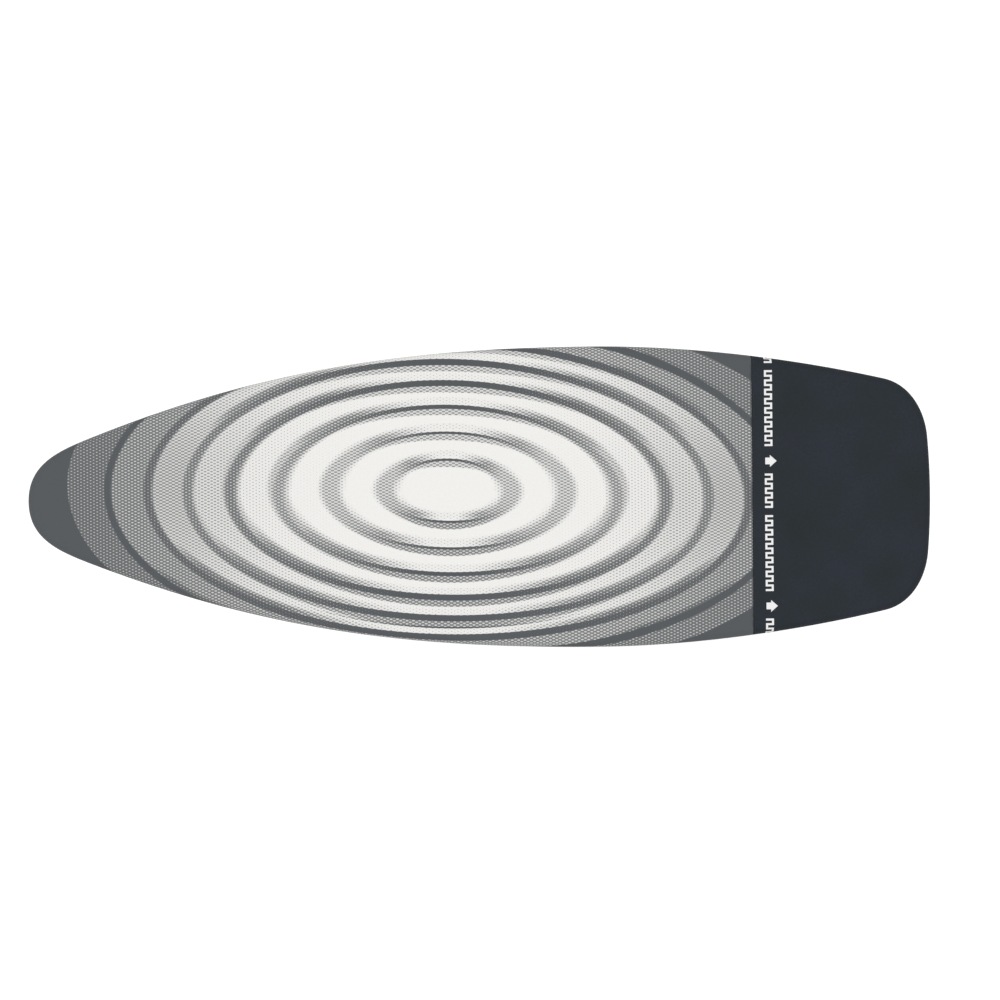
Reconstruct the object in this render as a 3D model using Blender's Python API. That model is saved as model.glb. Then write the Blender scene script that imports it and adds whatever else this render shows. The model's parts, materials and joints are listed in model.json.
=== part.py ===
"""Folding ironing board with a padded, printed cover on scissor legs.

Metres, +Z up. The origin is on the floor, under the middle of the board. The nose points along -X,
the broad end with the heat zone along +X, and the height lever is on the -Y side.
"""
import bmesh
import bpy
from math import asin, cos, pi, radians, sin
from mathutils import Matrix, Vector

# ---- driving sizes -------------------------------------------------------------------------------
BOARD_LENGTH = 1.350
BOARD_WIDTH = 0.450
WORK_HEIGHT = 0.920          # top of the cover at rest
HEAT_ZONE_LENGTH = 0.267     # from the seam to the broad end

# outline of the top, measured from the nose and from the broad end
NOSE_LENGTH = 0.096
NOSE_HALF_WIDTH = 0.0955
NOSE_ROUNDING = 0.056
FLANK_SLOPE = 0.39
WIDEST_FROM_END = 0.500
CORNER_LENGTH = 0.068
CORNER_HALF_WIDTH = 0.1735
CORNER_SLOPE = -0.23
CORNER_ROUNDING = 0.040
END_BOW = 0.0035
END_HALF_WIDTH = 0.086

# layers, from the top down
CLEARANCE = 0.0003
COVER_THICKNESS = 0.001
FOAM_THICKNESS = 0.004
FELT_THICKNESS = 0.003
MESH_THICKNESS = 0.0010
EDGE_RADIUS = 0.012
EDGE_STEPS = 3               # facets of the rounded edge, and of the turn under the frame
TURN_STEPS = 2
HEM_WIDTH = 0.0316

# top frame
EDGE_TUBE_RADIUS = 0.0095
EDGE_TUBE_WALL = 0.0012
MEMBER_HEIGHT = 0.0117
MEMBER_WIDTH = 0.022
MEMBER_WALL = 0.0015
NOSE_MEMBER_X = -0.492
MIDDLE_MEMBER_X = 0.415

# legs
PIVOT_X = -0.200
PIVOT_BELOW_EDGE = 0.0415    # from the underside of the covered edge down to the leg pivots
LEG_UPPER = 0.405            # from the top pivot to the crossing
LEG_LOWER = 0.670            # from the crossing to the foot bar
LEG_RADIUS = 0.0125
LEG_WALL = 0.0012
LEGS_OUTSIDE = 0.1525        # from the middle to the outer faces of the outer legs
LEG_SPACING = 0.005          # between an outer leg and the inner leg beside it
OUTER_FOOT_HALF = 0.205
INNER_FOOT_HALF = 0.175
FOOT_BAR_RADIUS = 0.011
FOOT_CAP_RADIUS = 0.016
FOOT_CAP_LENGTH = 0.034
BRACE_DISTANCE = 0.930       # from the top pivot to the brace
BRACE_RADIUS = 0.008
HIGHEST_ANGLE = radians(56.8)

# pivots and the slider
PIVOT_RADIUS = 0.005
CROSS_BOLT_RADIUS = 0.004
RAIL_SPACING = 0.0135        # between an inner leg and the middle of the rail beside it
RAIL_WALL = 0.002
RAIL_FLANGE = 0.009
RAIL_BOTTOM_DROP = 0.016     # below the pivots
SLIDE_BLOCK_LENGTH = 0.022
SLIDE_BLOCK_HEIGHT = 0.0104
SLIDE_LIP = 0.0030
RUN_MARGIN = 0.0010

# height lock
LOCK_ROD_RADIUS = 0.005
LOCK_ROD_RISE = 0.018
MOUNT_WIDTH = 0.018
MOUNT_THICKNESS = 0.005
HOUSING_BACK = 0.024         # from the slider axle towards the nose
HOUSING_FRONT = 0.014
HOUSING_WIDTH = 0.036
HOUSING_WALL = 0.003
PLATE_OFFSET = 0.016         # lock plate pivot, from the axle towards the nose
PLATE_THICKNESS = 0.003
PLATE_WIDTH = 0.026
PLATE_TILT = radians(6.0)
TAIL_ARM = 0.026
TAIL_THICKNESS = 0.0025
TAIL_REACH = 0.040
LEVER_SWING = radians(5.0)
BAR_Y = -0.065
BAR_RADIUS = 0.003
BLADE_THICKNESS = 0.002
GRIP_LENGTH = 0.050
GRIP_WIDTH = 0.020
GRIP_HEIGHT = 0.009
LEVER_TIP_Y = -0.155
LEVER_DROP = 0.0130

# transport hook
HOOK_WIDTH = 0.012
HOOK_ARM = 0.009
HOOK_WALL = 0.005
HOOK_PIN_RADIUS = 0.0025

# drawstring and its lock
CORD_RADIUS = 0.002
TAPE_WALL = 0.0008
CORD_LOCK_X = 0.075          # from the nose tip
CORD_LOCK_RADIUS = 0.010
BUTTON_RADIUS = 0.0065
BUTTON_TRAVEL = 0.003

# ---- places worked out from the sizes ------------------------------------------------------------
NOSE_X = -BOARD_LENGTH / 2
END_X = BOARD_LENGTH / 2
SEAM_X = END_X - HEAT_ZONE_LENGTH

COVER_BOTTOM = WORK_HEIGHT - COVER_THICKNESS
FOAM_TOP = COVER_BOTTOM - CLEARANCE
FOAM_BOTTOM = FOAM_TOP - FOAM_THICKNESS
FELT_TOP = FOAM_BOTTOM - CLEARANCE
FELT_BOTTOM = FELT_TOP - FELT_THICKNESS
MESH_TOP = FELT_BOTTOM - CLEARANCE
MESH_BOTTOM = MESH_TOP - MESH_THICKNESS
FRAME_TOP = MESH_BOTTOM - CLEARANCE
TUBE_Z = FRAME_TOP - EDGE_TUBE_RADIUS
TUBE_INSET = COVER_THICKNESS + CLEARANCE + EDGE_TUBE_RADIUS
HEM_RADIUS = TUBE_INSET
HEM_BOTTOM = TUBE_Z - HEM_RADIUS
MEMBER_TOP = FRAME_TOP
MEMBER_BOTTOM = MEMBER_TOP - MEMBER_HEIGHT
MEMBER_INSET = TUBE_INSET + EDGE_TUBE_RADIUS + CLEARANCE
HANG_Z = MEMBER_BOTTOM - CLEARANCE

CORD_INSET = HEM_WIDTH + CLEARANCE + TAPE_WALL + CLEARANCE + CORD_RADIUS
CORD_Z = HEM_BOTTOM + CLEARANCE

OUTER_LEG_Y = LEGS_OUTSIDE - LEG_RADIUS
INNER_LEG_Y = OUTER_LEG_Y - LEG_RADIUS * 2 - LEG_SPACING
RAIL_Y = INNER_LEG_Y - LEG_RADIUS - RAIL_SPACING

PIVOT_Z = HEM_BOTTOM - PIVOT_BELOW_EDGE
LEG_LENGTH = LEG_UPPER + LEG_LOWER
LEG_ANGLE = asin((PIVOT_Z - FOOT_CAP_RADIUS) / LEG_LENGTH)
PIVOT = Vector((PIVOT_X, 0, PIVOT_Z))
CROSSING = PIVOT + Vector((cos(LEG_ANGLE), 0, -sin(LEG_ANGLE))) * LEG_UPPER
SLIDER = PIVOT + Vector((2 * LEG_UPPER * cos(LEG_ANGLE), 0, 0))
SLIDER_FOLDED_X = PIVOT_X + 2 * LEG_UPPER
SLIDER_HIGHEST_X = PIVOT_X + 2 * LEG_UPPER * cos(HIGHEST_ANGLE)

ROD_Z = PIVOT_Z + LOCK_ROD_RISE
ROD_FRONT_X = SLIDER_HIGHEST_X - HOUSING_BACK - RUN_MARGIN - MOUNT_THICKNESS
ROD_REAR_X = SLIDER_FOLDED_X + HOUSING_FRONT + RUN_MARGIN + MOUNT_THICKNESS
FRONT_MEMBER_X = ROD_FRONT_X + MEMBER_WIDTH / 2 - 0.002
REAR_MEMBER_X = ROD_REAR_X - MEMBER_WIDTH / 2
MEMBER_PLACES = (NOSE_MEMBER_X, PIVOT_X, FRONT_MEMBER_X, MIDDLE_MEMBER_X, REAR_MEMBER_X)

HOUSING_FLOOR = PIVOT_Z + PIVOT_RADIUS + HOUSING_WALL
PLATE_PIVOT = SLIDER + Vector((-PLATE_OFFSET, 0, HOUSING_FLOOR - PIVOT_Z + PLATE_THICKNESS / 2))
TAIL_TOP = ROD_Z + LOCK_ROD_RADIUS + 0.0070 + TAIL_THICKNESS
TAIL_LIFT = TAIL_ARM * sin(PLATE_TILT)
BLADE_ARM = TAIL_LIFT / sin(LEVER_SWING)
BAR_Z = TAIL_TOP + TAIL_LIFT / 2 + BLADE_THICKNESS / 2 + CLEARANCE * 2
BLADE_FRONT_X = ROD_FRONT_X + MEMBER_WIDTH - 0.002
BLADE_REAR_X = SLIDER_FOLDED_X - PLATE_OFFSET + TAIL_ARM + CLEARANCE * 2
BEARING_WIDTH = 0.009

HOOK_ARM_X = PIVOT_X + 2 * LEG_UPPER - LEG_LENGTH - FOOT_BAR_RADIUS - 0.0005
HOOK_PIVOT = Vector((HOOK_ARM_X - HOOK_ARM / 2, 0, HANG_Z - 0.013))

# ---- building blocks -----------------------------------------------------------------------------


def clear_scene():
    for item in list(bpy.data.objects):
        bpy.data.objects.remove(item, do_unlink=True)


def material(name, color, roughness, metallic=0.0):
    made = bpy.data.materials.new(name)
    made.use_nodes = True
    shader = made.node_tree.nodes["Principled BSDF"]
    shader.inputs["Base Color"].default_value = (*color, 1.0)
    shader.inputs["Roughness"].default_value = roughness
    shader.inputs["Metallic"].default_value = metallic
    return made


def axis_empty(name, place, angle=0.0):
    """An empty on a joint's axis; the angle turns it about +Y."""
    empty = bpy.data.objects.new(name, None)
    empty.location = place
    empty.rotation_euler = (0, angle, 0)
    bpy.context.scene.collection.objects.link(empty)
    return empty


def add_part(name, bm, surface, parent=None, place=(0, 0, 0), smooth=False):
    """A named object from a bmesh that is given in its own frame."""
    bmesh.ops.recalc_face_normals(bm, faces=bm.faces)
    mesh = bpy.data.meshes.new(name)
    bm.to_mesh(mesh)
    bm.free()
    if smooth:
        mesh.shade_smooth()
        mesh.set_sharp_from_angle(angle=radians(40))
    part = bpy.data.objects.new(name, mesh)
    part.location = place
    part.parent = parent
    bpy.context.scene.collection.objects.link(part)
    if surface is not None:
        mesh.materials.append(surface)
    return part


def cut(part, tool_bm, parent=None, place=(0, 0, 0)):
    """Takes a closed shape away from a part."""
    tool = add_part(part.name + "_cutter", tool_bm, None, parent, place)
    tool.hide_render = True
    tool.display_type = "WIRE"
    boolean = part.modifiers.new("cut", "BOOLEAN")
    boolean.operation = "DIFFERENCE"
    boolean.object = tool


def box(low, high):
    bm = bmesh.new()
    low, high = Vector(low), Vector(high)
    size = Matrix.Diagonal((*(high - low), 1))
    bmesh.ops.create_cube(bm, size=1, matrix=Matrix.Translation((low + high) / 2) @ size)
    return bm


def lathe(profile, axis="Y", sides=20):
    """Turns (distance along the axis, radius) points into a closed body; a radius of 0 is a tip."""
    turn = {"X": Matrix.Rotation(pi / 2, 4, "Y"), "Y": Matrix.Rotation(-pi / 2, 4, "X"), "Z": Matrix()}
    bm = bmesh.new()
    rings = []
    for along, radius in profile:
        turns = [2 * pi * k / sides for k in range(sides)]
        rings.append([bm.verts.new((radius * cos(a), radius * sin(a), along)) for a in turns])
    for lower, upper in zip(rings, rings[1:]):
        bridge(bm, lower, upper)
    if profile[0] == profile[-1]:
        bmesh.ops.remove_doubles(bm, verts=rings[0] + rings[-1], dist=1e-7)
    else:
        bm.faces.new(rings[0])
        bm.faces.new(rings[-1])
    bmesh.ops.transform(bm, matrix=turn[axis], verts=bm.verts)
    return bm


def bridge(bm, lower, upper):
    count = len(lower)
    for k in range(count):
        bm.faces.new((lower[k], lower[(k + 1) % count], upper[(k + 1) % count], upper[k]))


def rod(start, end, radius, axis="Y", sides=16):
    return lathe([(start, radius), (end, radius)], axis, sides)


def sleeve(start, end, outer, inner, axis="Y", sides=20):
    return lathe([(start, inner), (start, outer), (end, outer), (end, inner), (start, inner)], axis, sides)


def moved(bm, offset):
    bmesh.ops.translate(bm, vec=Vector(offset), verts=bm.verts)
    return bm


def extrude_outline(points, start, end, axis="Y"):
    """A prism: points lie in the plane across the axis, in X, Y, Z order."""
    order = {"X": (2, 0, 1), "Y": (0, 2, 1), "Z": (0, 1, 2)}[axis]
    bm = bmesh.new()
    rings = []
    for level in (start, end):
        rings.append([bm.verts.new([(u, v, level)[k] for k in order]) for u, v in points])
    bridge(bm, rings[0], rings[1])
    bm.faces.new(rings[0])
    bm.faces.new(rings[1])
    return bm


def slot_outline(start, end, middle, radius, steps=6):
    """A slot with round ends, from one end centre to the other."""
    turn = [-pi / 2 + pi * k / steps for k in range(steps + 1)]
    front = [(end + radius * cos(a), middle + radius * sin(a)) for a in turn]
    back = [(start - radius * cos(a), middle - radius * sin(a)) for a in turn]
    return front + back


def add_tube(name, points, radius, surface, parent=None, closed=False, place=(0, 0, 0)):
    """A round bar or cord along points, as a curve with filled caps."""
    curve = bpy.data.curves.new(name, "CURVE")
    curve.dimensions = "3D"
    curve.bevel_depth = radius
    curve.bevel_resolution = 2
    curve.use_fill_caps = not closed
    curve.render_resolution_u = 0
    spline = curve.splines.new("POLY")
    spline.points.add(len(points) - 1)
    for target, point in zip(spline.points, points):
        target.co = (*point, 1)
    spline.use_cyclic_u = closed
    spline.use_smooth = True
    curve.materials.append(surface)
    part = bpy.data.objects.new(name, curve)
    part.parent = parent
    part.location = place
    bpy.context.scene.collection.objects.link(part)
    return part


def coil(start, end, radius, wire, turns, axis="Z", steps=8, sides=4):
    """An open coil spring about an axis, closed at its wire's ends."""
    bm = bmesh.new()
    rings = []
    count = round(turns * steps)
    low, high = start + wire, end - wire
    for k in range(count + 1):
        angle = 2 * pi * k / steps
        ring = []
        for side in range(sides):
            tilt = 2 * pi * side / sides
            reach = radius + wire * cos(tilt)
            level = low + (high - low) * k / count + wire * sin(tilt)
            ring.append(bm.verts.new((reach * cos(angle), reach * sin(angle), level)))
        rings.append(ring)
    for lower, upper in zip(rings, rings[1:]):
        bridge(bm, lower, upper)
    bm.faces.new(rings[0])
    bm.faces.new(rings[-1])
    if axis == "X":
        bmesh.ops.transform(bm, matrix=Matrix.Rotation(pi / 2, 4, "Y"), verts=bm.verts)
    return bm


# ---- the outline of the top ----------------------------------------------------------------------


def bezier(start, out, back, end, count):
    """Points and tangents of one cubic stretch, without its last point."""
    made = []
    for k in range(count):
        t = k / count
        s = 1 - t
        place = start * s ** 3 + out * 3 * s * s * t + back * 3 * s * t * t + end * t ** 3
        tangent = (out - start) * s * s + (back - out) * 2 * s * t + (end - back) * t * t
        made.append((place, tangent.normalized()))
    return made


def half_outline():
    """From the nose tip along +Y to the middle of the broad end: nose, flank, shoulder, corner, end."""
    tip = Vector((NOSE_X, 0))
    nose = Vector((NOSE_X + NOSE_LENGTH, NOSE_HALF_WIDTH))
    widest = Vector((END_X - WIDEST_FROM_END, BOARD_WIDTH / 2))
    corner = Vector((END_X - CORNER_LENGTH, CORNER_HALF_WIDTH))
    shoulder = Vector((END_X - END_BOW, END_HALF_WIDTH))
    end = Vector((END_X, 0))
    nose_way = Vector((1, FLANK_SLOPE)).normalized()
    corner_way = Vector((1, CORNER_SLOPE)).normalized()
    end_way = Vector((END_BOW * 2, -END_HALF_WIDTH)).normalized()
    level = Vector((1, 0))
    flank_third = (widest.x - nose.x) / 2.7
    rear_third = (corner.x - widest.x) / 3.1
    up = Vector((0, 1))
    points = bezier(tip, tip + up * NOSE_ROUNDING, nose - nose_way * NOSE_ROUNDING, nose, 9)
    points += bezier(nose, nose + nose_way * flank_third, widest - level * flank_third, widest, 7)
    points += bezier(widest, widest + level * rear_third, corner - corner_way * rear_third, corner, 5)
    points += bezier(corner, corner + corner_way * CORNER_ROUNDING, shoulder - end_way * CORNER_ROUNDING,
                     shoulder, 6)
    bow = END_HALF_WIDTH / 3
    points += bezier(shoulder, shoulder + end_way * bow, end + up * bow, end, 2)
    points.append((end, -up))
    return points


def outline():
    """The whole outline as (point, inward normal), from the nose tip round by +Y."""
    half = [(place, Vector((way.y, -way.x))) for place, way in half_outline()]
    mirrored = [(Vector((p.x, -p.y)), Vector((n.x, -n.y))) for p, n in reversed(half[1:-1])]
    return half + mirrored


OUTLINE = outline()


def loop(inset, z):
    return [(p.x + n.x * inset, p.y + n.y * inset, z) for p, n in OUTLINE]


def half_width(x, inset=0.0):
    """Half the top's width at x, inside an inset from the edge."""
    row = [Vector((p.x + n.x * inset, p.y + n.y * inset)) for p, n in OUTLINE[:len(OUTLINE) // 2 + 1]]
    for a, b in zip(row, row[1:]):
        if a.x <= x <= b.x:
            return a.y + (b.y - a.y) * (x - a.x) / (b.x - a.x)
    return 0.0


def edge_body(profile, ring=False):
    """Carries (inset, z) points round the outline: a plate with two faces, or a ring."""
    bm = bmesh.new()
    rings = [[bm.verts.new(co) for co in loop(inset, z)] for inset, z in profile]
    for lower, upper in zip(rings, rings[1:]):
        bridge(bm, lower, upper)
    if ring:
        bridge(bm, rings[-1], rings[0])
    else:
        bm.faces.new(rings[0])
        bm.faces.new(rings[-1])
    return bm


def arc(centre, radius, start, end, steps):
    """Points (inset, z) on a circle; the angle is measured from the inward direction."""
    angles = [radians(start + (end - start) * k / steps) for k in range(steps + 1)]
    return [(centre[0] + radius * cos(a), centre[1] + radius * sin(a)) for a in angles]


# ---- soft top ------------------------------------------------------------------------------------


def cover_profile():
    """From the middle of the upper face over the edge to the hem and back inside."""
    edge = (EDGE_RADIUS, WORK_HEIGHT - EDGE_RADIUS)
    turn = (HEM_RADIUS, TUBE_Z)
    inner_edge = EDGE_RADIUS - COVER_THICKNESS
    inner_turn = HEM_RADIUS - COVER_THICKNESS
    outer = arc(edge, EDGE_RADIUS, 90, 180, EDGE_STEPS) + arc(turn, HEM_RADIUS, 180, 270, TURN_STEPS)
    hem = [(HEM_WIDTH, HEM_BOTTOM), (HEM_WIDTH, HEM_BOTTOM + COVER_THICKNESS)]
    inner = arc(turn, inner_turn, 270, 180, TURN_STEPS) + arc(edge, inner_edge, 180, 90, EDGE_STEPS)
    return outer + hem + inner


def soft_top(materials):
    far = 1.0
    cotton = add_part("cover_fabric", edge_body(cover_profile()), materials["print"], smooth=True)
    cut(cotton, box((SEAM_X - CLEARANCE / 2, -far, 0), (END_X + far, far, far)))
    heat = add_part("heat_zone_fabric", edge_body(cover_profile()), materials["heat"], smooth=True)
    cut(heat, box((NOSE_X - far, -far, 0), (SEAM_X + CLEARANCE / 2, far, far)))

    pads = (("foam_layer", FOAM_BOTTOM, FOAM_TOP, "foam"), ("felt_layer", FELT_BOTTOM, FELT_TOP, "felt"))
    for name, bottom, top, surface in pads:
        add_part(name, edge_body([(pad_inset(z), z) for z in (bottom, (bottom + top) / 2, top)]),
                 materials[surface])

    inner = HEM_WIDTH + CLEARANCE
    mouth = CORD_INSET + CORD_RADIUS + 0.0015
    half = CORD_RADIUS + CLEARANCE
    wall = half + TAPE_WALL
    tape = [(inner, CORD_Z - wall), (mouth, CORD_Z - wall), (mouth, CORD_Z - half),
            (inner + TAPE_WALL, CORD_Z - half), (inner + TAPE_WALL, CORD_Z + half), (mouth, CORD_Z + half),
            (mouth, CORD_Z + wall), (inner, CORD_Z + wall)]
    add_part("hem_binding", edge_body(tape, ring=True), materials["tape"])
    drawstring(materials)


def pad_inset(z):
    """Where a pad's edge meets the inside of the rounded cover."""
    flat = cos(pi / 4 / EDGE_STEPS)
    reach = (EDGE_RADIUS - COVER_THICKNESS) * flat - CLEARANCE
    rise = min(z - (WORK_HEIGHT - EDGE_RADIUS), reach)
    return EDGE_RADIUS - (reach ** 2 - rise ** 2) ** 0.5


def drawstring(materials):
    lock_x = NOSE_X + CORD_LOCK_X
    spread = CORD_RADIUS + CLEARANCE / 2
    ring = loop(CORD_INSET, CORD_Z)
    leave = 3
    lead_in = [Vector((lock_x + 0.026, spread, CORD_Z)), Vector((lock_x - 0.013, spread, CORD_Z)),
               Vector((lock_x - 0.021, spread + 0.0015, CORD_Z)),
               Vector((lock_x - 0.027, spread + 0.0055, CORD_Z))]
    lead_out = [Vector((p.x, -p.y, p.z)) for p in reversed(lead_in)]
    add_tube("drawstring", lead_in + ring[leave:len(ring) - leave + 1] + lead_out, CORD_RADIUS,
             materials["cord"])

    window = 2 * CORD_RADIUS + 2 * CLEARANCE
    side = 2 * CORD_RADIUS + CLEARANCE * 1.5
    bottom = CORD_Z - 0.0116
    ceiling = CORD_Z + 0.0130
    bore = BUTTON_RADIUS + CLEARANCE
    wall = 0.002
    place = (lock_x, 0, 0)
    lock = lathe([(ceiling, 0.0005), (ceiling, bore), (bottom, bore), (bottom, CORD_LOCK_RADIUS),
                  (ceiling + wall, CORD_LOCK_RADIUS), (ceiling + wall, 0.0005), (ceiling, 0.0005)], "Z", 18)
    body = add_part("cord_lock", lock, materials["black_plastic"], place=place, smooth=True)
    reach = 2 * CORD_LOCK_RADIUS
    cut(body, box((-reach, -side, CORD_Z - window / 2), (reach, side, CORD_Z + window / 2)), place=place)

    top = CORD_Z + window / 2 + 0.0042
    head_top = bottom - BUTTON_TRAVEL - CLEARANCE
    button = lathe([(head_top - 0.0045, BUTTON_RADIUS), (head_top, BUTTON_RADIUS + 0.0012),
                    (head_top, BUTTON_RADIUS), (top, BUTTON_RADIUS)], "Z", 18)
    plunger = add_part("cord_lock_button", button, materials["grey_plastic"], place=place, smooth=True)
    sill = CORD_Z - window / 2 - BUTTON_TRAVEL
    cut(plunger, box((-reach, -side, sill), (reach, side, CORD_Z + window / 2)), place=place)
    spring = coil(top + CLEARANCE, ceiling - CLEARANCE, BUTTON_RADIUS - 0.0012, 0.0004, 4)
    add_part("cord_lock_spring", spring, materials["zinc"], place=place, smooth=True)


# ---- top frame -----------------------------------------------------------------------------------


def perforations():
    """Six-sided steam holes in rows across the mesh sheet, between the cross members."""
    bm = bmesh.new()
    pitch = 0.075
    radius = 0.009
    x = NOSE_X + 0.150
    row = 0
    while x < END_X - 0.060:
        reach = half_width(x) - 0.050
        blocked = any(abs(x - place) < MEMBER_WIDTH / 2 + radius + 0.002 for place in MEMBER_PLACES)
        y = -pitch * 2 + (pitch / 2 if row % 2 else 0)
        while y <= pitch * 2 + 1e-6 and not blocked:
            if abs(y) < reach:
                hole = Matrix.Translation((x, y, MESH_BOTTOM + MESH_THICKNESS / 2))
                bmesh.ops.create_cone(bm, cap_ends=True, segments=6, radius1=radius, radius2=radius,
                                      depth=MESH_THICKNESS * 4, matrix=hole)
            y += pitch
        x += pitch * 1.15
        row += 1
    return bm


def top_frame(materials):
    rest = TUBE_INSET - 0.004
    sheet = add_part("mesh_top", edge_body([(rest, MESH_BOTTOM), (rest, MESH_TOP)]), materials["mesh"])
    cut(sheet, perforations())
    edge_frame(materials)

    for number, x in enumerate(MEMBER_PLACES, 1):
        cross_member(f"cross_member_{number}", x, materials["frame"])

    for side, sign in (("left", 1), ("right", -1)):
        leg_bracket(side, sign, materials)
        slide_rail(f"slide_rail_{side}", sign, materials["zinc"])

    add_part("lock_rod", rod(ROD_FRONT_X, ROD_REAR_X, LOCK_ROD_RADIUS, "X"), materials["zinc"],
             place=(0, 0, ROD_Z), smooth=True)
    for end, low in (("front", ROD_FRONT_X), ("rear", ROD_REAR_X - MOUNT_THICKNESS)):
        half = MOUNT_WIDTH / 2
        plate = box((low, -half, ROD_Z - 0.010), (low + MOUNT_THICKNESS, half, HANG_Z))
        mount = add_part(f"rod_mount_{end}", plate, materials["frame"])
        hole = rod(low - 0.01, low + MOUNT_THICKNESS + 0.01, LOCK_ROD_RADIUS + CLEARANCE, "X")
        cut(mount, moved(hole, (0, 0, ROD_Z)))


def edge_frame(materials):
    """A hollow tube bent to the outline, with the small drain hole such tubes have."""
    sides = 4 * TURN_STEPS
    outer = [(TUBE_INSET + EDGE_TUBE_RADIUS * cos(2 * pi * k / sides),
              TUBE_Z + EDGE_TUBE_RADIUS * sin(2 * pi * k / sides)) for k in range(sides)]
    bore_sides = 6
    bore_radius = EDGE_TUBE_RADIUS * cos(pi / sides) - EDGE_TUBE_WALL
    bore = [(TUBE_INSET + bore_radius * cos(2 * pi * k / bore_sides),
             TUBE_Z + bore_radius * sin(2 * pi * k / bore_sides)) for k in range(bore_sides)]
    tube = edge_body(outer, ring=True)
    tube_part = add_part("edge_frame", tube, materials["frame"], smooth=True)
    inner = edge_body(bore, ring=True)
    drain = rod(TUBE_Z - 0.02, TUBE_Z, 0.003, "Z", 8)
    moved(drain, (END_X - TUBE_INSET, 0, 0))
    cut(tube_part, inner)
    cut(tube_part, drain)


def cross_member(name, x, surface):
    """A pressed channel across the frame, open below, whose ends follow the edge tube."""
    half = MEMBER_WIDTH / 2
    web = MEMBER_TOP - MEMBER_WALL
    profile = [(-half, MEMBER_BOTTOM), (-half, MEMBER_TOP), (half, MEMBER_TOP), (half, MEMBER_BOTTOM),
               (half - MEMBER_WALL, MEMBER_BOTTOM), (half - MEMBER_WALL, web),
               (-half + MEMBER_WALL, web), (-half + MEMBER_WALL, MEMBER_BOTTOM)]
    bm = bmesh.new()
    rings = []
    for sign in (-1, 1):
        rings.append([bm.verts.new((x + u, sign * half_width(x + u, MEMBER_INSET), z)) for u, z in profile])
    bridge(bm, rings[0], rings[1])
    bm.faces.new(rings[0])
    bm.faces.new(rings[1])
    return add_part(name, bm, surface)


def leg_bracket(side, sign, materials):
    """A fork round the top of an outer leg, hung under the cross member, and the leg's pivot pin."""
    wall = 0.0025
    inside = LEG_RADIUS + 0.0005
    outside = inside + wall
    bottom = PIVOT_Z - 0.011
    fork = [(-outside, bottom), (-outside, HANG_Z), (outside, HANG_Z), (outside, bottom), (inside, bottom),
            (inside, HANG_Z - wall), (-inside, HANG_Z - wall), (-inside, bottom)]
    middle = sign * OUTER_LEG_Y
    body = moved(extrude_outline(fork, PIVOT_X - 0.014, PIVOT_X + 0.014, "X"), (0, middle, 0))
    bracket = add_part(f"leg_bracket_{side}", body, materials["frame"])
    hole = rod(-0.03, 0.03, PIVOT_RADIUS + CLEARANCE)
    place = (PIVOT_X, middle, PIVOT_Z)
    cut(bracket, hole, place=place)
    ends = sorted((-sign * (outside + CLEARANCE), sign * (outside + 0.004)))
    add_part(f"leg_pivot_{side}", rod(*ends, PIVOT_RADIUS), materials["zinc"], place=place, smooth=True)


def slide_rail(name, sign, surface):
    """A channel with a long slot, in which the slide block runs."""
    web = RAIL_WALL / 2
    bottom = PIVOT_Z - RAIL_BOTTOM_DROP
    lip = web + RAIL_FLANGE
    profile = [(-web, bottom), (-web, HANG_Z), (lip, HANG_Z), (lip, HANG_Z - RAIL_WALL),
               (web, HANG_Z - RAIL_WALL), (web, bottom + RAIL_WALL), (lip, bottom + RAIL_WALL), (lip, bottom)]
    profile = [(sign * (RAIL_Y + y), z) for y, z in profile]
    rail = add_part(name, extrude_outline(profile, ROD_FRONT_X, ROD_REAR_X, "X"), surface)
    radius = SLIDE_BLOCK_HEIGHT / 2 + CLEARANCE
    reach = SLIDE_BLOCK_LENGTH / 2 + RUN_MARGIN
    slot = slot_outline(SLIDER_HIGHEST_X - reach, SLIDER_FOLDED_X + reach, PIVOT_Z, radius)
    cut(rail, extrude_outline(slot, -0.02, 0.02), place=(0, sign * RAIL_Y, 0))


# ---- height lock ---------------------------------------------------------------------------------


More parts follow.
